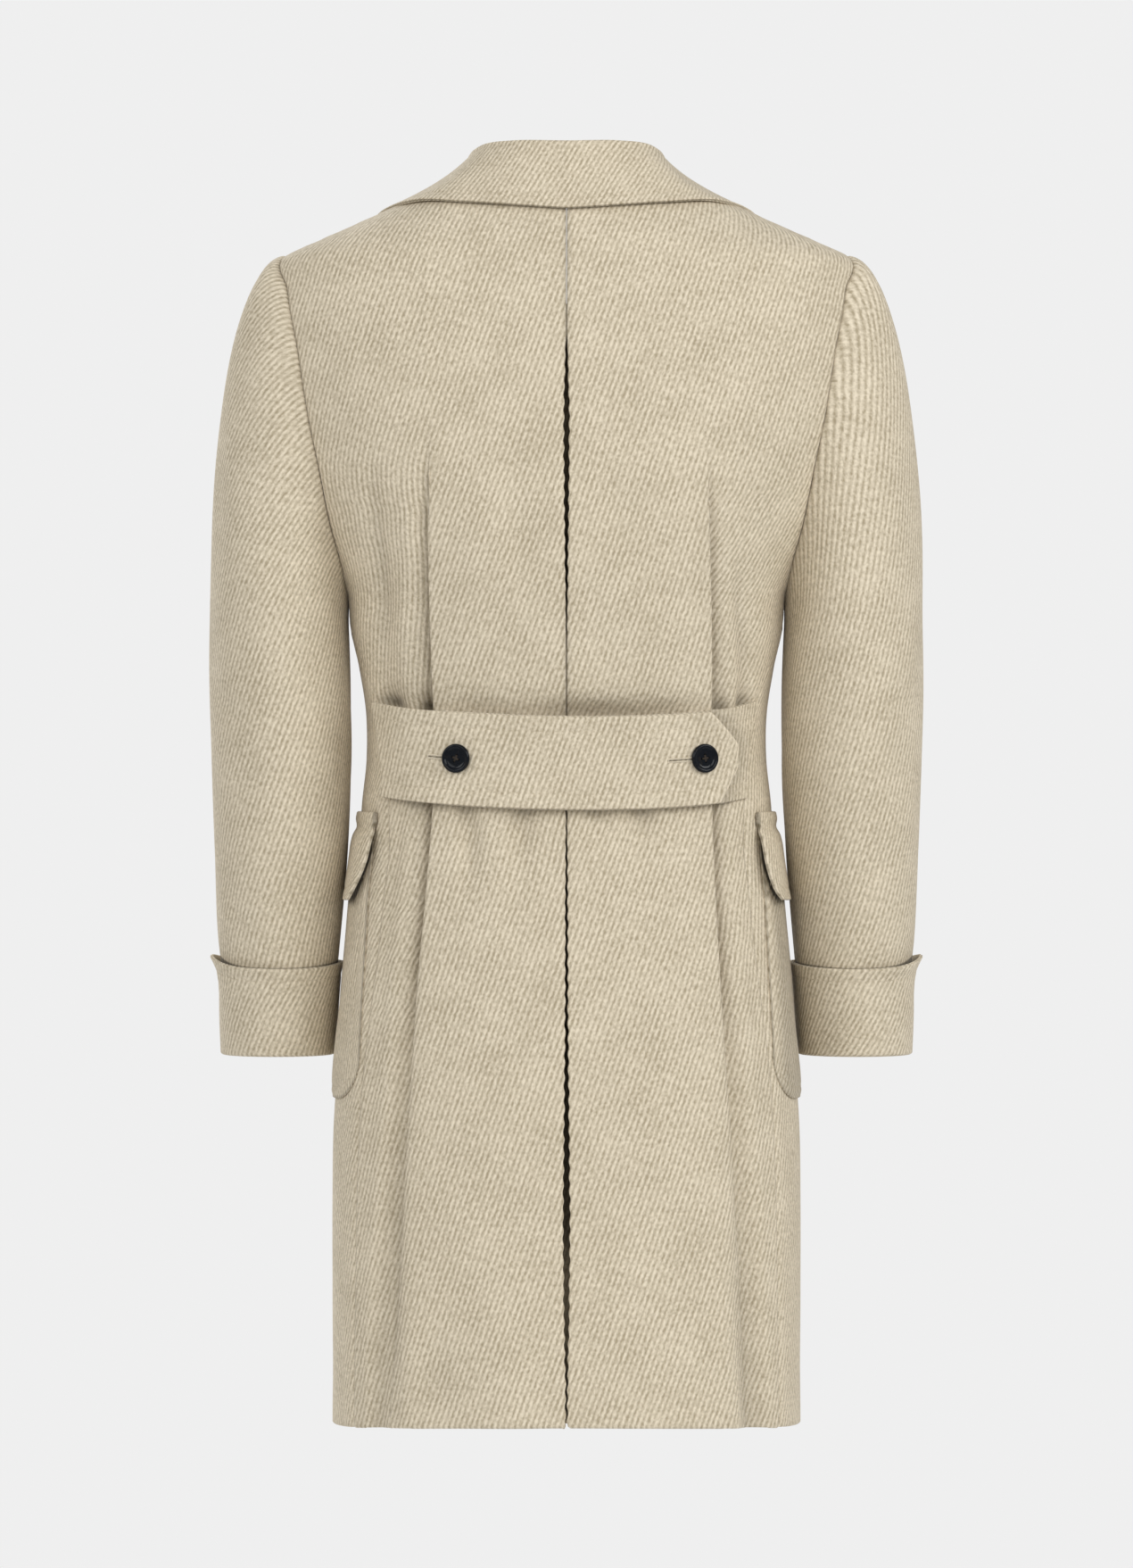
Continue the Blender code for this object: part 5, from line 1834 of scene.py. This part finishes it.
@dataclass
class PickStitch:
    """Hand-sewn stitches, small beads of thread that follow a line."""

    length: float = 0.003
    pitch: float = 0.0062
    thread: float = 0.0004

    def bead(self, bm: BMesh, spot: Array, way: Array, normal: Array, length: float) -> None:
        """Adds one stitch.

        Args:
            bm: The bmesh that it is added to.
            spot: Its middle.
            way: The direction of the thread.
            normal: The cloth's normal.
            length: Its length.
        """
        way = Vector(way).normalized()
        across = Vector(normal).cross(way).normalized()
        up = way.cross(across)
        axes = Matrix((across * self.thread, up * self.thread, way * (length / 2))).transposed().to_4x4()
        matrix = Matrix.Translation(Vector(spot)) @ axes
        bmesh.ops.create_uvsphere(bm, u_segments=6, v_segments=4, radius=1.0, matrix=matrix)

    def sew(self, name: str, lines: list[Line], finish: Material) -> bpy.types.Object:
        """Sews along lines.

        Args:
            name: The object's name.
            lines: Points and normals of each line.
            finish: The thread's material.

        Returns:
            The object.
        """
        bm = bmesh.new()
        for points, normals in lines:
            along = run_along(points, 0)
            for at in np.arange(self.pitch / 2, along[-1] - self.length / 2, self.pitch):
                start = read_along(along, points, at - self.length / 2)
                end = read_along(along, points, at + self.length / 2)
                self.bead(bm, (start + end) / 2, end - start, read_along(along, normals, at), self.length)
        return add_object(name, bm, finish)


@dataclass
class Buttonhole:
    """A worked buttonhole: two rows of close stitches along a slit, a line of dark beads as the slit's
    painted shadow, and a bar at its end.
    """

    stitch: PickStitch = field(default_factory=lambda: PickStitch(thread=0.00045))
    # Dark beads along the slit: its painted shadow
    slit: PickStitch = field(default_factory=lambda: PickStitch(thread=0.0002))
    depth: float = 0.0014
    pitch: float = 0.0008
    apart: float = 0.0013

    def work(self, bm: BMesh, dark: BMesh, path: list[Array], normal: Array) -> None:
        """Works one buttonhole.

        Args:
            bm: The bmesh that the stitches are added to.
            dark: The bmesh that the slit's painted shadow, a line of dark beads, is added to.
            path: Points of the slit on the cloth, from its barred end.
            normal: The cloth's normal.
        """
        points = np.array(path)
        along = run_along(points, 0)
        across = np.cross(normal, (points[-1] - points[0]) / along[-1])
        for at in np.arange(0.0, along[-1], self.pitch):
            spot = read_along(along, points, at)
            for sign in (-1.0, 1.0):
                self.stitch.bead(bm, spot + across * sign * self.apart, across, normal, self.depth)
            # Painted shadow of the slit
            self.slit.bead(dark, spot, points[-1] - points[0], normal, 2.5 * self.pitch)
        self.stitch.bead(bm, points[0], across, normal, 3.0 * self.depth)


@dataclass
class HornButton:
    """A turned horn button with a raised rim, a dished middle, four holes and its sewing thread."""

    name: str
    radius: float
    foot: Array
    facing: Array
    turn: float
    sides: int = 48
    hole: float = 0.085
    hole_out: float = 0.165
    hole_deep: float = 0.16
    thread: float = 0.05

    def stand(self) -> Matrix:
        """The matrix that turns a button lying on the origin to its place."""
        turned = Vector(self.facing).to_track_quat("Z", "Y").to_matrix().to_4x4()
        return Matrix.Translation(Vector(self.foot)) @ turned @ Matrix.Rotation(self.turn, 4, "Z")

    def hole_places(self) -> list[Vector]:
        """Middles of the four holes on a unit button."""
        height = BUTTON.rows[-1, 1]
        return [Vector((x * self.hole_out, y * self.hole_out, height)) for x in (-1, 1) for y in (-1, 1)]

    def build(self, finish: Material) -> bpy.types.Object:
        """Turns the button and bores its holes.

        Args:
            finish: The horn's material.

        Returns:
            The object.
        """
        bm = bmesh.new()
        profile = [bm.verts.new((out, 0.0, up)) for out, up in BUTTON.rows]
        edges = [bm.edges.new(pair) for pair in zip(profile, profile[1:])]
        bmesh.ops.spin(
            bm, geom=profile + edges, axis=(0, 0, 1), angle=2 * math.pi, steps=self.sides, use_merge=True
        )
        bmesh.ops.remove_doubles(bm, verts=bm.verts[:], dist=1e-5)
        dish = [e for e in bm.edges if e.is_boundary]
        holes = []
        for spot in self.hole_places():
            made = bmesh.ops.create_circle(bm, segments=14, radius=self.hole, matrix=Matrix.Translation(spot))
            holes += list({e for v in made["verts"] for e in v.link_edges})
        bmesh.ops.triangle_fill(bm, use_beauty=True, use_dissolve=False, edges=dish + holes, normal=(0, 0, 1))
        made = bmesh.ops.extrude_edge_only(bm, edges=holes)
        sunk = [part for part in made["geom"] if isinstance(part, BMVert)]
        bmesh.ops.translate(bm, verts=sunk, vec=(0, 0, -self.hole_deep))
        floor = [part for part in made["geom"] if isinstance(part, bmesh.types.BMEdge)]
        bmesh.ops.holes_fill(bm, edges=floor, sides=0)
        bmesh.ops.recalc_face_normals(bm, faces=bm.faces[:])
        bmesh.ops.scale(bm, vec=(self.radius,) * 3, verts=bm.verts[:])
        bmesh.ops.transform(bm, matrix=self.stand(), verts=bm.verts[:])
        made = add_object(f"{self.name}_horn", bm, finish)
        made.data.set_sharp_from_angle(angle=math.radians(50))
        return made

    def tie(self, bm: BMesh) -> None:
        """Adds the button's sewing thread, two pairs of strands between its holes.

        Args:
            bm: The bmesh that the thread is added to.
        """
        holes = self.hole_places()
        stand = self.stand() @ Matrix.Scale(self.radius, 4)
        for a, b in ((0, 3), (1, 2)):
            for shift in (-0.6, 0.6):
                way = holes[b] - holes[a]
                across = Vector((0, 0, 1)).cross(way).normalized()
                middle = (holes[a] + holes[b]) / 2 + across * shift * self.thread
                axes = Matrix((across * self.thread, Vector((0, 0, self.thread * 1.3)), way * 0.56))
                matrix = stand @ Matrix.Translation(middle) @ axes.transposed().to_4x4()
                bmesh.ops.create_uvsphere(bm, u_segments=8, v_segments=8, radius=1.0, matrix=matrix)


class Value:
    """A number in a shader, with arithmetic that adds Math nodes."""

    def __init__(self, shader: "Shader", socket: Socket) -> None:
        """Wraps a socket of a shader."""
        self.shader = shader
        self.socket = socket

    def math(self, operation: str, *values: "Value | float") -> "Value":
        """The result of one Math node with these inputs."""
        node = self.shader.node("ShaderNodeMath", {"operation": operation}, dict(enumerate(values)))
        return Value(self.shader, node.outputs[0])

    def __add__(self, other: "Value | float") -> "Value":
        """Self plus other."""
        return self.math("ADD", self, other)

    def __radd__(self, other: float) -> "Value":
        """Other plus self."""
        return self.math("ADD", other, self)

    def __sub__(self, other: "Value | float") -> "Value":
        """Self minus other."""
        return self.math("SUBTRACT", self, other)

    def __rsub__(self, other: float) -> "Value":
        """Other minus self."""
        return self.math("SUBTRACT", other, self)

    def __mul__(self, other: "Value | float") -> "Value":
        """Self times other."""
        return self.math("MULTIPLY", self, other)

    def __rmul__(self, other: float) -> "Value":
        """Other times self."""
        return self.math("MULTIPLY", other, self)

    def __pow__(self, other: "Value | float") -> "Value":
        """Self to the power of other."""
        return self.math("POWER", self, other)

    def cosine(self) -> "Value":
        """The cosine."""
        return self.math("COSINE", self)

    def clamped(self) -> "Value":
        """Held between 0 and 1."""
        return self.math("MINIMUM", self.math("MAXIMUM", self, 0.0), 1.0)


class Shader:
    """A material with a Principled shader whose nodes are added one by one."""

    def __init__(self, name: str) -> None:
        """Starts a material.

        Args:
            name: Its name.
        """
        self.material = bpy.data.materials.new(name)
        self.material.use_nodes = True
        self.tree = self.material.node_tree
        self.surface = self.tree.nodes["Principled BSDF"]

    def node(self, kind: str, settings: dict | None = None, sockets: dict | None = None) -> bpy.types.Node:
        """Adds a node.

        Args:
            kind: The node's type.
            settings: Its properties.
            sockets: Values or links of its inputs, by name or number.

        Returns:
            The node.
        """
        made = self.tree.nodes.new(kind)
        for name, value in (settings or {}).items():
            setattr(made, name, value)
        for name, value in (sockets or {}).items():
            self.feed(made.inputs[name], value)
        return made

    def feed(self, socket: Socket, value: object) -> None:
        """Sets or links one input.

        Args:
            socket: The input.
            value: A number, a colour, a wrapped value or an output.
        """
        if isinstance(value, Value):
            value = value.socket
        if isinstance(value, Socket):
            self.tree.links.new(value, socket)
        else:
            socket.default_value = value

    def value(self, node: bpy.types.Node, output: str | int = 0) -> Value:
        """Wraps one output of a node."""
        return Value(self, node.outputs[output])

    def noise(self, place: object, scale: float, detail: float = 2.0, roughness: float = 0.5) -> Value:
        """The value, about 0.5, of a noise that reads a place."""
        sockets = {"Vector": place, "Scale": scale, "Detail": detail, "Roughness": roughness}
        return self.value(self.node("ShaderNodeTexNoise", {}, sockets), "Fac")

    def mix(self, share: Value, low: Colour | Socket, high: Colour | Socket) -> Socket:
        """The mix of two colours or outputs, the first where the share is 0 and the second where it is 1."""
        return self.node("ShaderNodeMix", {"data_type": "RGBA"}, {0: share, 6: low, 7: high}).outputs[2]

    def bump(self, height: Value, distance: float, strength: float) -> None:
        """Feeds a height to the surface's normal; distance is what a height of 1 stands for, in metres."""
        node = self.node("ShaderNodeBump", {}, {"Height": height, "Distance": distance, "Strength": strength})
        self.dress(Normal=node.outputs["Normal"])

    def dress(self, **values: object) -> None:
        """Sets or links the surface's own sockets, whose names have underscores for spaces."""
        for name, value in values.items():
            self.feed(self.surface.inputs[name.replace("_", " ")], value)


def linear(*parts: int) -> Colour:
    """A screen colour, red, green and blue from 0 to 255, as the linear colour that a shader takes."""
    shares = (part / 255.0 for part in parts)
    return (*(s / 12.92 if s <= 0.04045 else ((s + 0.055) / 1.055) ** 2.4 for s in shares), 1.0)


@dataclass(frozen=True)
class TwillCloth:
    """Camel-beige melange twill with broad slanting ribs and a soft nap."""

    pitch: float = 0.0044
    slant: float = 70.0
    rib: Colour = linear(232, 220, 197)
    furrow: Colour = linear(170, 157, 132)
    shade: Colour = linear(150, 137, 113)
    # Colour that painted shade darkens the cloth towards
    deep: Colour = linear(50, 44, 34)
    sheen: Colour = (1.0, 0.95, 0.86, 1.0)
    cloud_scale: float = 24.0
    fleck_scale: float = 330.0
    rib_tone: float = 0.6
    yarn_tone: float = 1.55
    fleck_tone: float = 1.65
    cloud_tone: float = 0.6
    base_tone: float = 0.2
    relief: float = 0.0009

    def material(self) -> Material:
        """Makes the cloth's material.

        Returns:
            The material.
        """
        shader = Shader("camel_twill")
        weave = shader.node("ShaderNodeUVMap", {"uv_map": WEAVE}).outputs["UV"]
        split = shader.node("ShaderNodeSeparateXYZ", {}, {0: weave})
        u, v = shader.value(split, "X"), shader.value(split, "Y")
        c, s = math.cos(math.radians(self.slant)), math.sin(math.radians(self.slant))
        drift = shader.noise(weave, self.cloud_scale) - 0.5
        across = (u * s - v * c) * (1.0 / self.pitch) + drift * 0.3
        along = (u * c + v * s) * (1.0 / self.pitch)
        rib = (across * (2 * math.pi)).cosine() * 0.5 + 0.5
        yarn_at = shader.node("ShaderNodeCombineXYZ", {}, {"X": across * 2.3, "Y": along * 0.85})
        yarn = shader.noise(yarn_at.outputs[0], 1.0, 3.0, 0.6)
        twist_at = shader.node("ShaderNodeCombineXYZ", {}, {"X": across * 1.2, "Y": along * 3.2})
        twist = shader.noise(twist_at.outputs[0], 1.0)
        fleck = shader.noise(weave, self.fleck_scale, 3.0, 0.7)
        cloud = shader.noise(weave, self.cloud_scale, 4.0, 0.6)
        tone = rib**0.8 * self.rib_tone + (yarn - 0.5) * self.yarn_tone
        tone = tone + (fleck - 0.5) * self.fleck_tone + (cloud - 0.5) * self.cloud_tone + self.base_tone
        # Painted shading from the mesh: a painted highlight lightens the tone, painted shade mixes in the
        # deep colour
        painted_shading = shader.value(shader.node("ShaderNodeAttribute", {"attribute_name": PAINTED_SHADING}), "Fac")
        tone = tone + painted_shading.clamped() * 0.35
        colour = shader.mix(tone.clamped(), self.furrow, self.rib)
        dark = ((fleck - 0.62) * 5.0).clamped() * (1.0 - rib * 0.6) * 0.55
        colour = shader.mix((0.0 - painted_shading).clamped(), shader.mix(dark, colour, self.shade), self.deep)
        height = rib * 0.62 + yarn * 0.45 + twist * 0.22 + fleck * 0.2
        shader.dress(Base_Color=colour, Roughness=0.97 - tone.clamped() * 0.1, Specular_IOR_Level=0.18)
        shader.dress(Sheen_Weight=0.22, Sheen_Roughness=0.45, Sheen_Tint=self.sheen)
        shader.bump(height, self.relief, 0.75)
        return shader.material


@dataclass(frozen=True)
class SewingThread:
    """Matt spun thread, with a little fuzz."""

    name: str
    colour: Colour
    worn: Colour

    def material(self) -> Material:
        """Makes the thread's material.

        Returns:
            The material.
        """
        shader = Shader(self.name)
        place = shader.node("ShaderNodeTexCoord").outputs["Object"]
        fuzz = shader.noise(place, 2600.0)
        ply = shader.noise(place, 700.0)
        shader.dress(Base_Color=shader.mix(ply, self.colour, self.worn), Roughness=0.75 + fuzz * 0.2)
        shader.dress(Specular_IOR_Level=0.25)
        shader.bump(fuzz + ply, 0.0002, 0.5)
        return shader.material


@dataclass(frozen=True)
class DarkHorn:
    """Polished blue-black horn with faint brown veins."""

    deep: Colour = linear(8, 10, 14)
    vein: Colour = linear(44, 38, 32)
    sheen: Colour = linear(14, 20, 28)

    def material(self) -> Material:
        """Makes the horn's material.

        Returns:
            The material.
        """
        shader = Shader("dark_horn")
        place = shader.node("ShaderNodeTexCoord").outputs["Object"]
        warp = shader.noise(place, 90.0, 3.0)
        veins = shader.noise(place, 260.0, 4.0, 0.65)
        streak = ((veins + warp * 0.5 - 0.78) * 4.0).clamped()
        base = shader.mix(warp.clamped(), self.deep, self.sheen)
        shader.dress(Base_Color=shader.mix(streak * 0.7, base, self.vein), Roughness=0.07 + veins * 0.08)
        shader.dress(Coat_Weight=0.06, Coat_Roughness=0.08, Specular_IOR_Level=0.16)
        shader.bump(veins, 0.0002, 0.25)
        return shader.material


@dataclass(frozen=True)
class PaleFloor:
    """A plain pale studio floor."""

    light: Colour = linear(240, 240, 240)
    dark: Colour = linear(233, 233, 233)

    def material(self) -> Material:
        """Makes the floor's material.

        Returns:
            The material.
        """
        shader = Shader("pale_floor")
        place = shader.node("ShaderNodeTexCoord").outputs["Object"]
        cloud = shader.noise(place, 3.0, 3.0)
        shader.dress(Base_Color=shader.mix(cloud, self.dark, self.light), Roughness=0.9)
        return shader.material


@dataclass(frozen=True)
class SoftLight:
    """A large square lamp that faces the coat."""

    name: str
    place: tuple[float, float, float]
    size: float
    watts: float

    def hang(self, target: Vector) -> None:
        """Hangs the lamp.

        Args:
            target: The point that it faces.
        """
        lamp = bpy.data.lights.new(self.name, "AREA")
        lamp.size = self.size
        lamp.energy = self.watts
        made = bpy.data.objects.new(self.name, lamp)
        made.location = self.place
        made.rotation_euler = (target - Vector(self.place)).to_track_quat("-Z", "Y").to_euler()
        bpy.context.scene.collection.objects.link(made)


@dataclass
class Studio:
    """The camera behind the coat, soft lamps, a pale surround and a pale floor far below the hem."""

    away: float = 5.5
    middle_z: float = -0.505
    lens: float = 150.26
    sensor: float = 36.0
    surround: float = 0.864
    ambient: float = 0.45
    floor_z: float = -1.5
    floor_radius: float = 1.45
    lamps: tuple[SoftLight, ...] = (
        SoftLight("right_lamp", (3.3, -2.4, 1.4), 2.0, 70.0),
        SoftLight("left_lamp", (-3.3, -2.4, 1.4), 2.0, 39.0),
        SoftLight("key_lamp", (1.8, -4.3, 1.0), 2.0, 43.0),
        SoftLight("fill_lamp", (-1.8, -4.3, 1.0), 2.0, 25.0),
        SoftLight("front_lamp", (-1.6, 3.4, 0.8), 2.6, 90.0),
    )

    def set_up(self) -> None:
        """Makes the whole studio."""
        target = Vector((0.0, 0.0, self.middle_z))
        for lamp in self.lamps:
            lamp.hang(target)
        self.set_camera()
        self.set_surround()
        self.lay_floor()
        bpy.context.scene.view_settings.view_transform = "Standard"
        bpy.context.scene.view_settings.look = "None"

    def set_camera(self) -> None:
        """Stands the camera behind the coat, level with the middle of the picture."""
        camera = bpy.data.cameras.new("camera")
        camera.lens = self.lens
        camera.sensor_width = self.sensor
        made = bpy.data.objects.new("camera", camera)
        made.location = (0.0, -self.away, self.middle_z)
        made.rotation_euler = (math.pi / 2, 0.0, 0.0)
        bpy.context.scene.collection.objects.link(made)
        bpy.context.scene.camera = made

    def set_surround(self) -> None:
        """Makes a surround that lights the coat softly and looks pale to the camera."""
        world = bpy.data.worlds.new("surround")
        world.use_nodes = True
        tree = world.node_tree
        tree.nodes.clear()
        kinds = ("Background", "Background", "LightPath", "MixShader", "OutputWorld")
        seen, lit, path, mix, out = (tree.nodes.new(f"ShaderNode{kind}") for kind in kinds)
        seen.inputs["Color"].default_value = (self.surround,) * 3 + (1.0,)
        lit.inputs["Color"].default_value = (self.ambient,) * 3 + (1.0,)
        tree.links.new(path.outputs["Is Camera Ray"], mix.inputs[0])
        tree.links.new(lit.outputs[0], mix.inputs[1])
        tree.links.new(seen.outputs[0], mix.inputs[2])
        tree.links.new(mix.outputs[0], out.inputs["Surface"])
        bpy.context.scene.world = world

    def lay_floor(self) -> None:
        """Lays the floor."""
        bm = bmesh.new()
        bmesh.ops.create_circle(bm, cap_ends=True, segments=96, radius=self.floor_radius)
        bmesh.ops.translate(bm, verts=bm.verts[:], vec=(0.0, 0.0, self.floor_z))
        add_object("floor", bm, PaleFloor().material())


@dataclass
class Coat:
    """The whole coat, piece by piece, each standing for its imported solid."""

    body: BodyForm
    cloth: Material
    horn: Material
    thread: Material
    hole_thread: Material
    button_thread: Material
    stitch: PickStitch = field(default_factory=PickStitch)
    hole: Buttonhole = field(default_factory=Buttonhole)

    def lay(self, sheet: Sheet) -> None:
        """Builds a sheet in its node's place and logs the size of its cut.

        Args:
            sheet: The sheet, named as its node.
        """
        piece = sheet.build(self.cloth)
        piece.name = f"{sheet.name}_cloth"
        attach(piece, BODY)
        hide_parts(sheet.name)
        wide, long, area = sheet.cut()
        log.info("%s: cut %.3f by %.3f m, %.4f square metres", piece.name, wide, long, area)

    def add(self, piece: bpy.types.Object, slot: Slot, node: str | None = None) -> None:
        """Adds a piece that isn't a sheet.

        Args:
            piece: The object.
            slot: Not used.
            node: The node that it stands for, if any.
        """
        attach(piece, BODY)
        if node:
            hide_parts(node)
        log.info("%s: %d faces", piece.name, len(piece.data.polygons))

    def make_back(self) -> None:
        """Makes the back and the underlay of its centre pleat."""
        for side in Side:
            self.lay(BackPanel(self.body, side).sheet())
        self.lay(PleatUnderlay(self.body).sheet())

    def make_fronts(self) -> None:
        """Makes the fronts, lapels, pockets and flaps with their sewing."""
        form = FrontForm(self.body)
        lines = []
        for side in Side:
            panel, pocket = FrontPanel(form, side), Pocket(form, side)
            front, patch, flap = panel.sheet(), pocket.sheet(), pocket.flap()
            self.lay(front)
            self.lay(Lapel(form, side).sheet())
            self.lay(patch)
            self.lay(flap)
            lines += [panel.stitch_line(front), *pocket.stitch_lines(patch, flap)]
        self.add(self.stitch.sew("front_stitches", lines, self.thread), Slot.CLOTH)

    def make_sleeves(self) -> None:
        """Makes the sleeves and cuffs."""
        lines = []
        for side in Side:
            sleeve = Sleeve(self.body, side)
            tube, (cuff, row) = sleeve.sheet(), Cuff(sleeve).sheet()
            self.lay(tube)
            self.lay(cuff)
            lines.append(cuff.line(row))
        self.add(self.stitch.sew("cuff_stitches", lines, self.thread), Slot.CLOTH)

    def make_collar(self) -> None:
        """Makes the collar."""
        sheet, row = Collar(self.body).sheet()
        self.lay(sheet)
        lines = [sheet.line(row, slice(4, -4))]
        self.add(self.stitch.sew("collar_stitches", lines, self.thread), Slot.CLOTH)

    def fasten(self, what: str, sets: list[tuple[HornButton, list[Array]]]) -> None:
        """Makes buttons with their thread and buttonholes.

        Args:
            what: What they close.
            sets: Each button with the points of its slit, or with none.
        """
        holes, ties_and_slit_shade = bmesh.new(), bmesh.new()
        for button, slit in sets:
            self.add(button.build(self.horn), Slot.HORN, button.name)
            button.tie(ties_and_slit_shade)
            if slit:
                self.hole.work(holes, ties_and_slit_shade, slit, unit(button.facing))
        self.add(add_object(f"{what}_buttonholes", holes, self.hole_thread), Slot.CLOTH)
        # Button thread, and the buttonholes' painted slit shadows in the same dark thread
        self.add(add_object(f"{what}_button_thread", ties_and_slit_shade, self.button_thread), Slot.CLOTH)

    def make_belt(self) -> None:
        """Makes the half belt with its buttons and buttonholes."""
        belt = HalfBelt(self.body)
        under, over = belt.sheets()
        self.lay(under)
        self.lay(over)
        self.add(self.stitch.sew("belt_stitches", belt.stitch_lines(over, under), self.thread), Slot.CLOTH)
        sets = []
        for side, (s, reach, turn) in BELT_BUTTONS.items():
            foot = belt.on_top(s, BUTTON_GAP)
            facing = belt.on_top(s, BUTTON_NUDGE) - foot
            slit = [belt.on_top(s - out, SLIT_LIFT) for out in np.linspace(reach, 0.002, 9)]
            sets.append((HornButton(side.named("belt_button"), BELT_BUTTON_RADIUS, foot, facing, turn), slit))
        self.fasten("belt", sets)

    def make_front_buttons(self) -> None:
        """Makes the two rows of front buttons, and the buttonholes of the row at the edge."""
        form = FrontForm(self.body)
        sets = []
        for row, z in enumerate(FRONT_BUTTON_HEIGHTS, start=1):
            for side, slits in ((Side.RIGHT, 7), (Side.LEFT, 0)):
                past = side.value * FRONT_BUTTON_OUT
                foot = form.place(Side.LEFT, z, past, BUTTON_GAP)
                facing = form.place(Side.LEFT, z, past, BUTTON_NUDGE) - foot
                outs = np.linspace(FRONT_BUTTON_REACH, 0.0, slits)
                slit = [form.place(Side.LEFT, z, past + out, SLIT_LIFT) for out in outs]
                name = f"{side.named('front_button')}_{row}"
                sets.append((HornButton(name, FRONT_BUTTON_RADIUS, foot, facing, 0.4 * row + past), slit))
        self.fasten("front", sets)


def main() -> None:
    """Sets the studio up, makes the coat and logs its sizes."""
    logging.basicConfig(level=logging.INFO, format="%(name)s: %(message)s")
    Studio().set_up()
    coat = Coat(
        BodyForm(),
        TwillCloth().material(),
        DarkHorn().material(),
        SewingThread("edge_thread", linear(206, 194, 170), linear(180, 167, 142)).material(),
        SewingThread("hole_thread", linear(232, 222, 202), linear(208, 197, 174)).material(),
        SewingThread("button_thread", linear(38, 34, 32), linear(70, 60, 50)).material(),
    )
    coat.make_back()
    coat.make_fronts()
    coat.make_sleeves()
    coat.make_collar()
    coat.make_belt()
    coat.make_front_buttons()


if __name__ == "__main__":
    main()
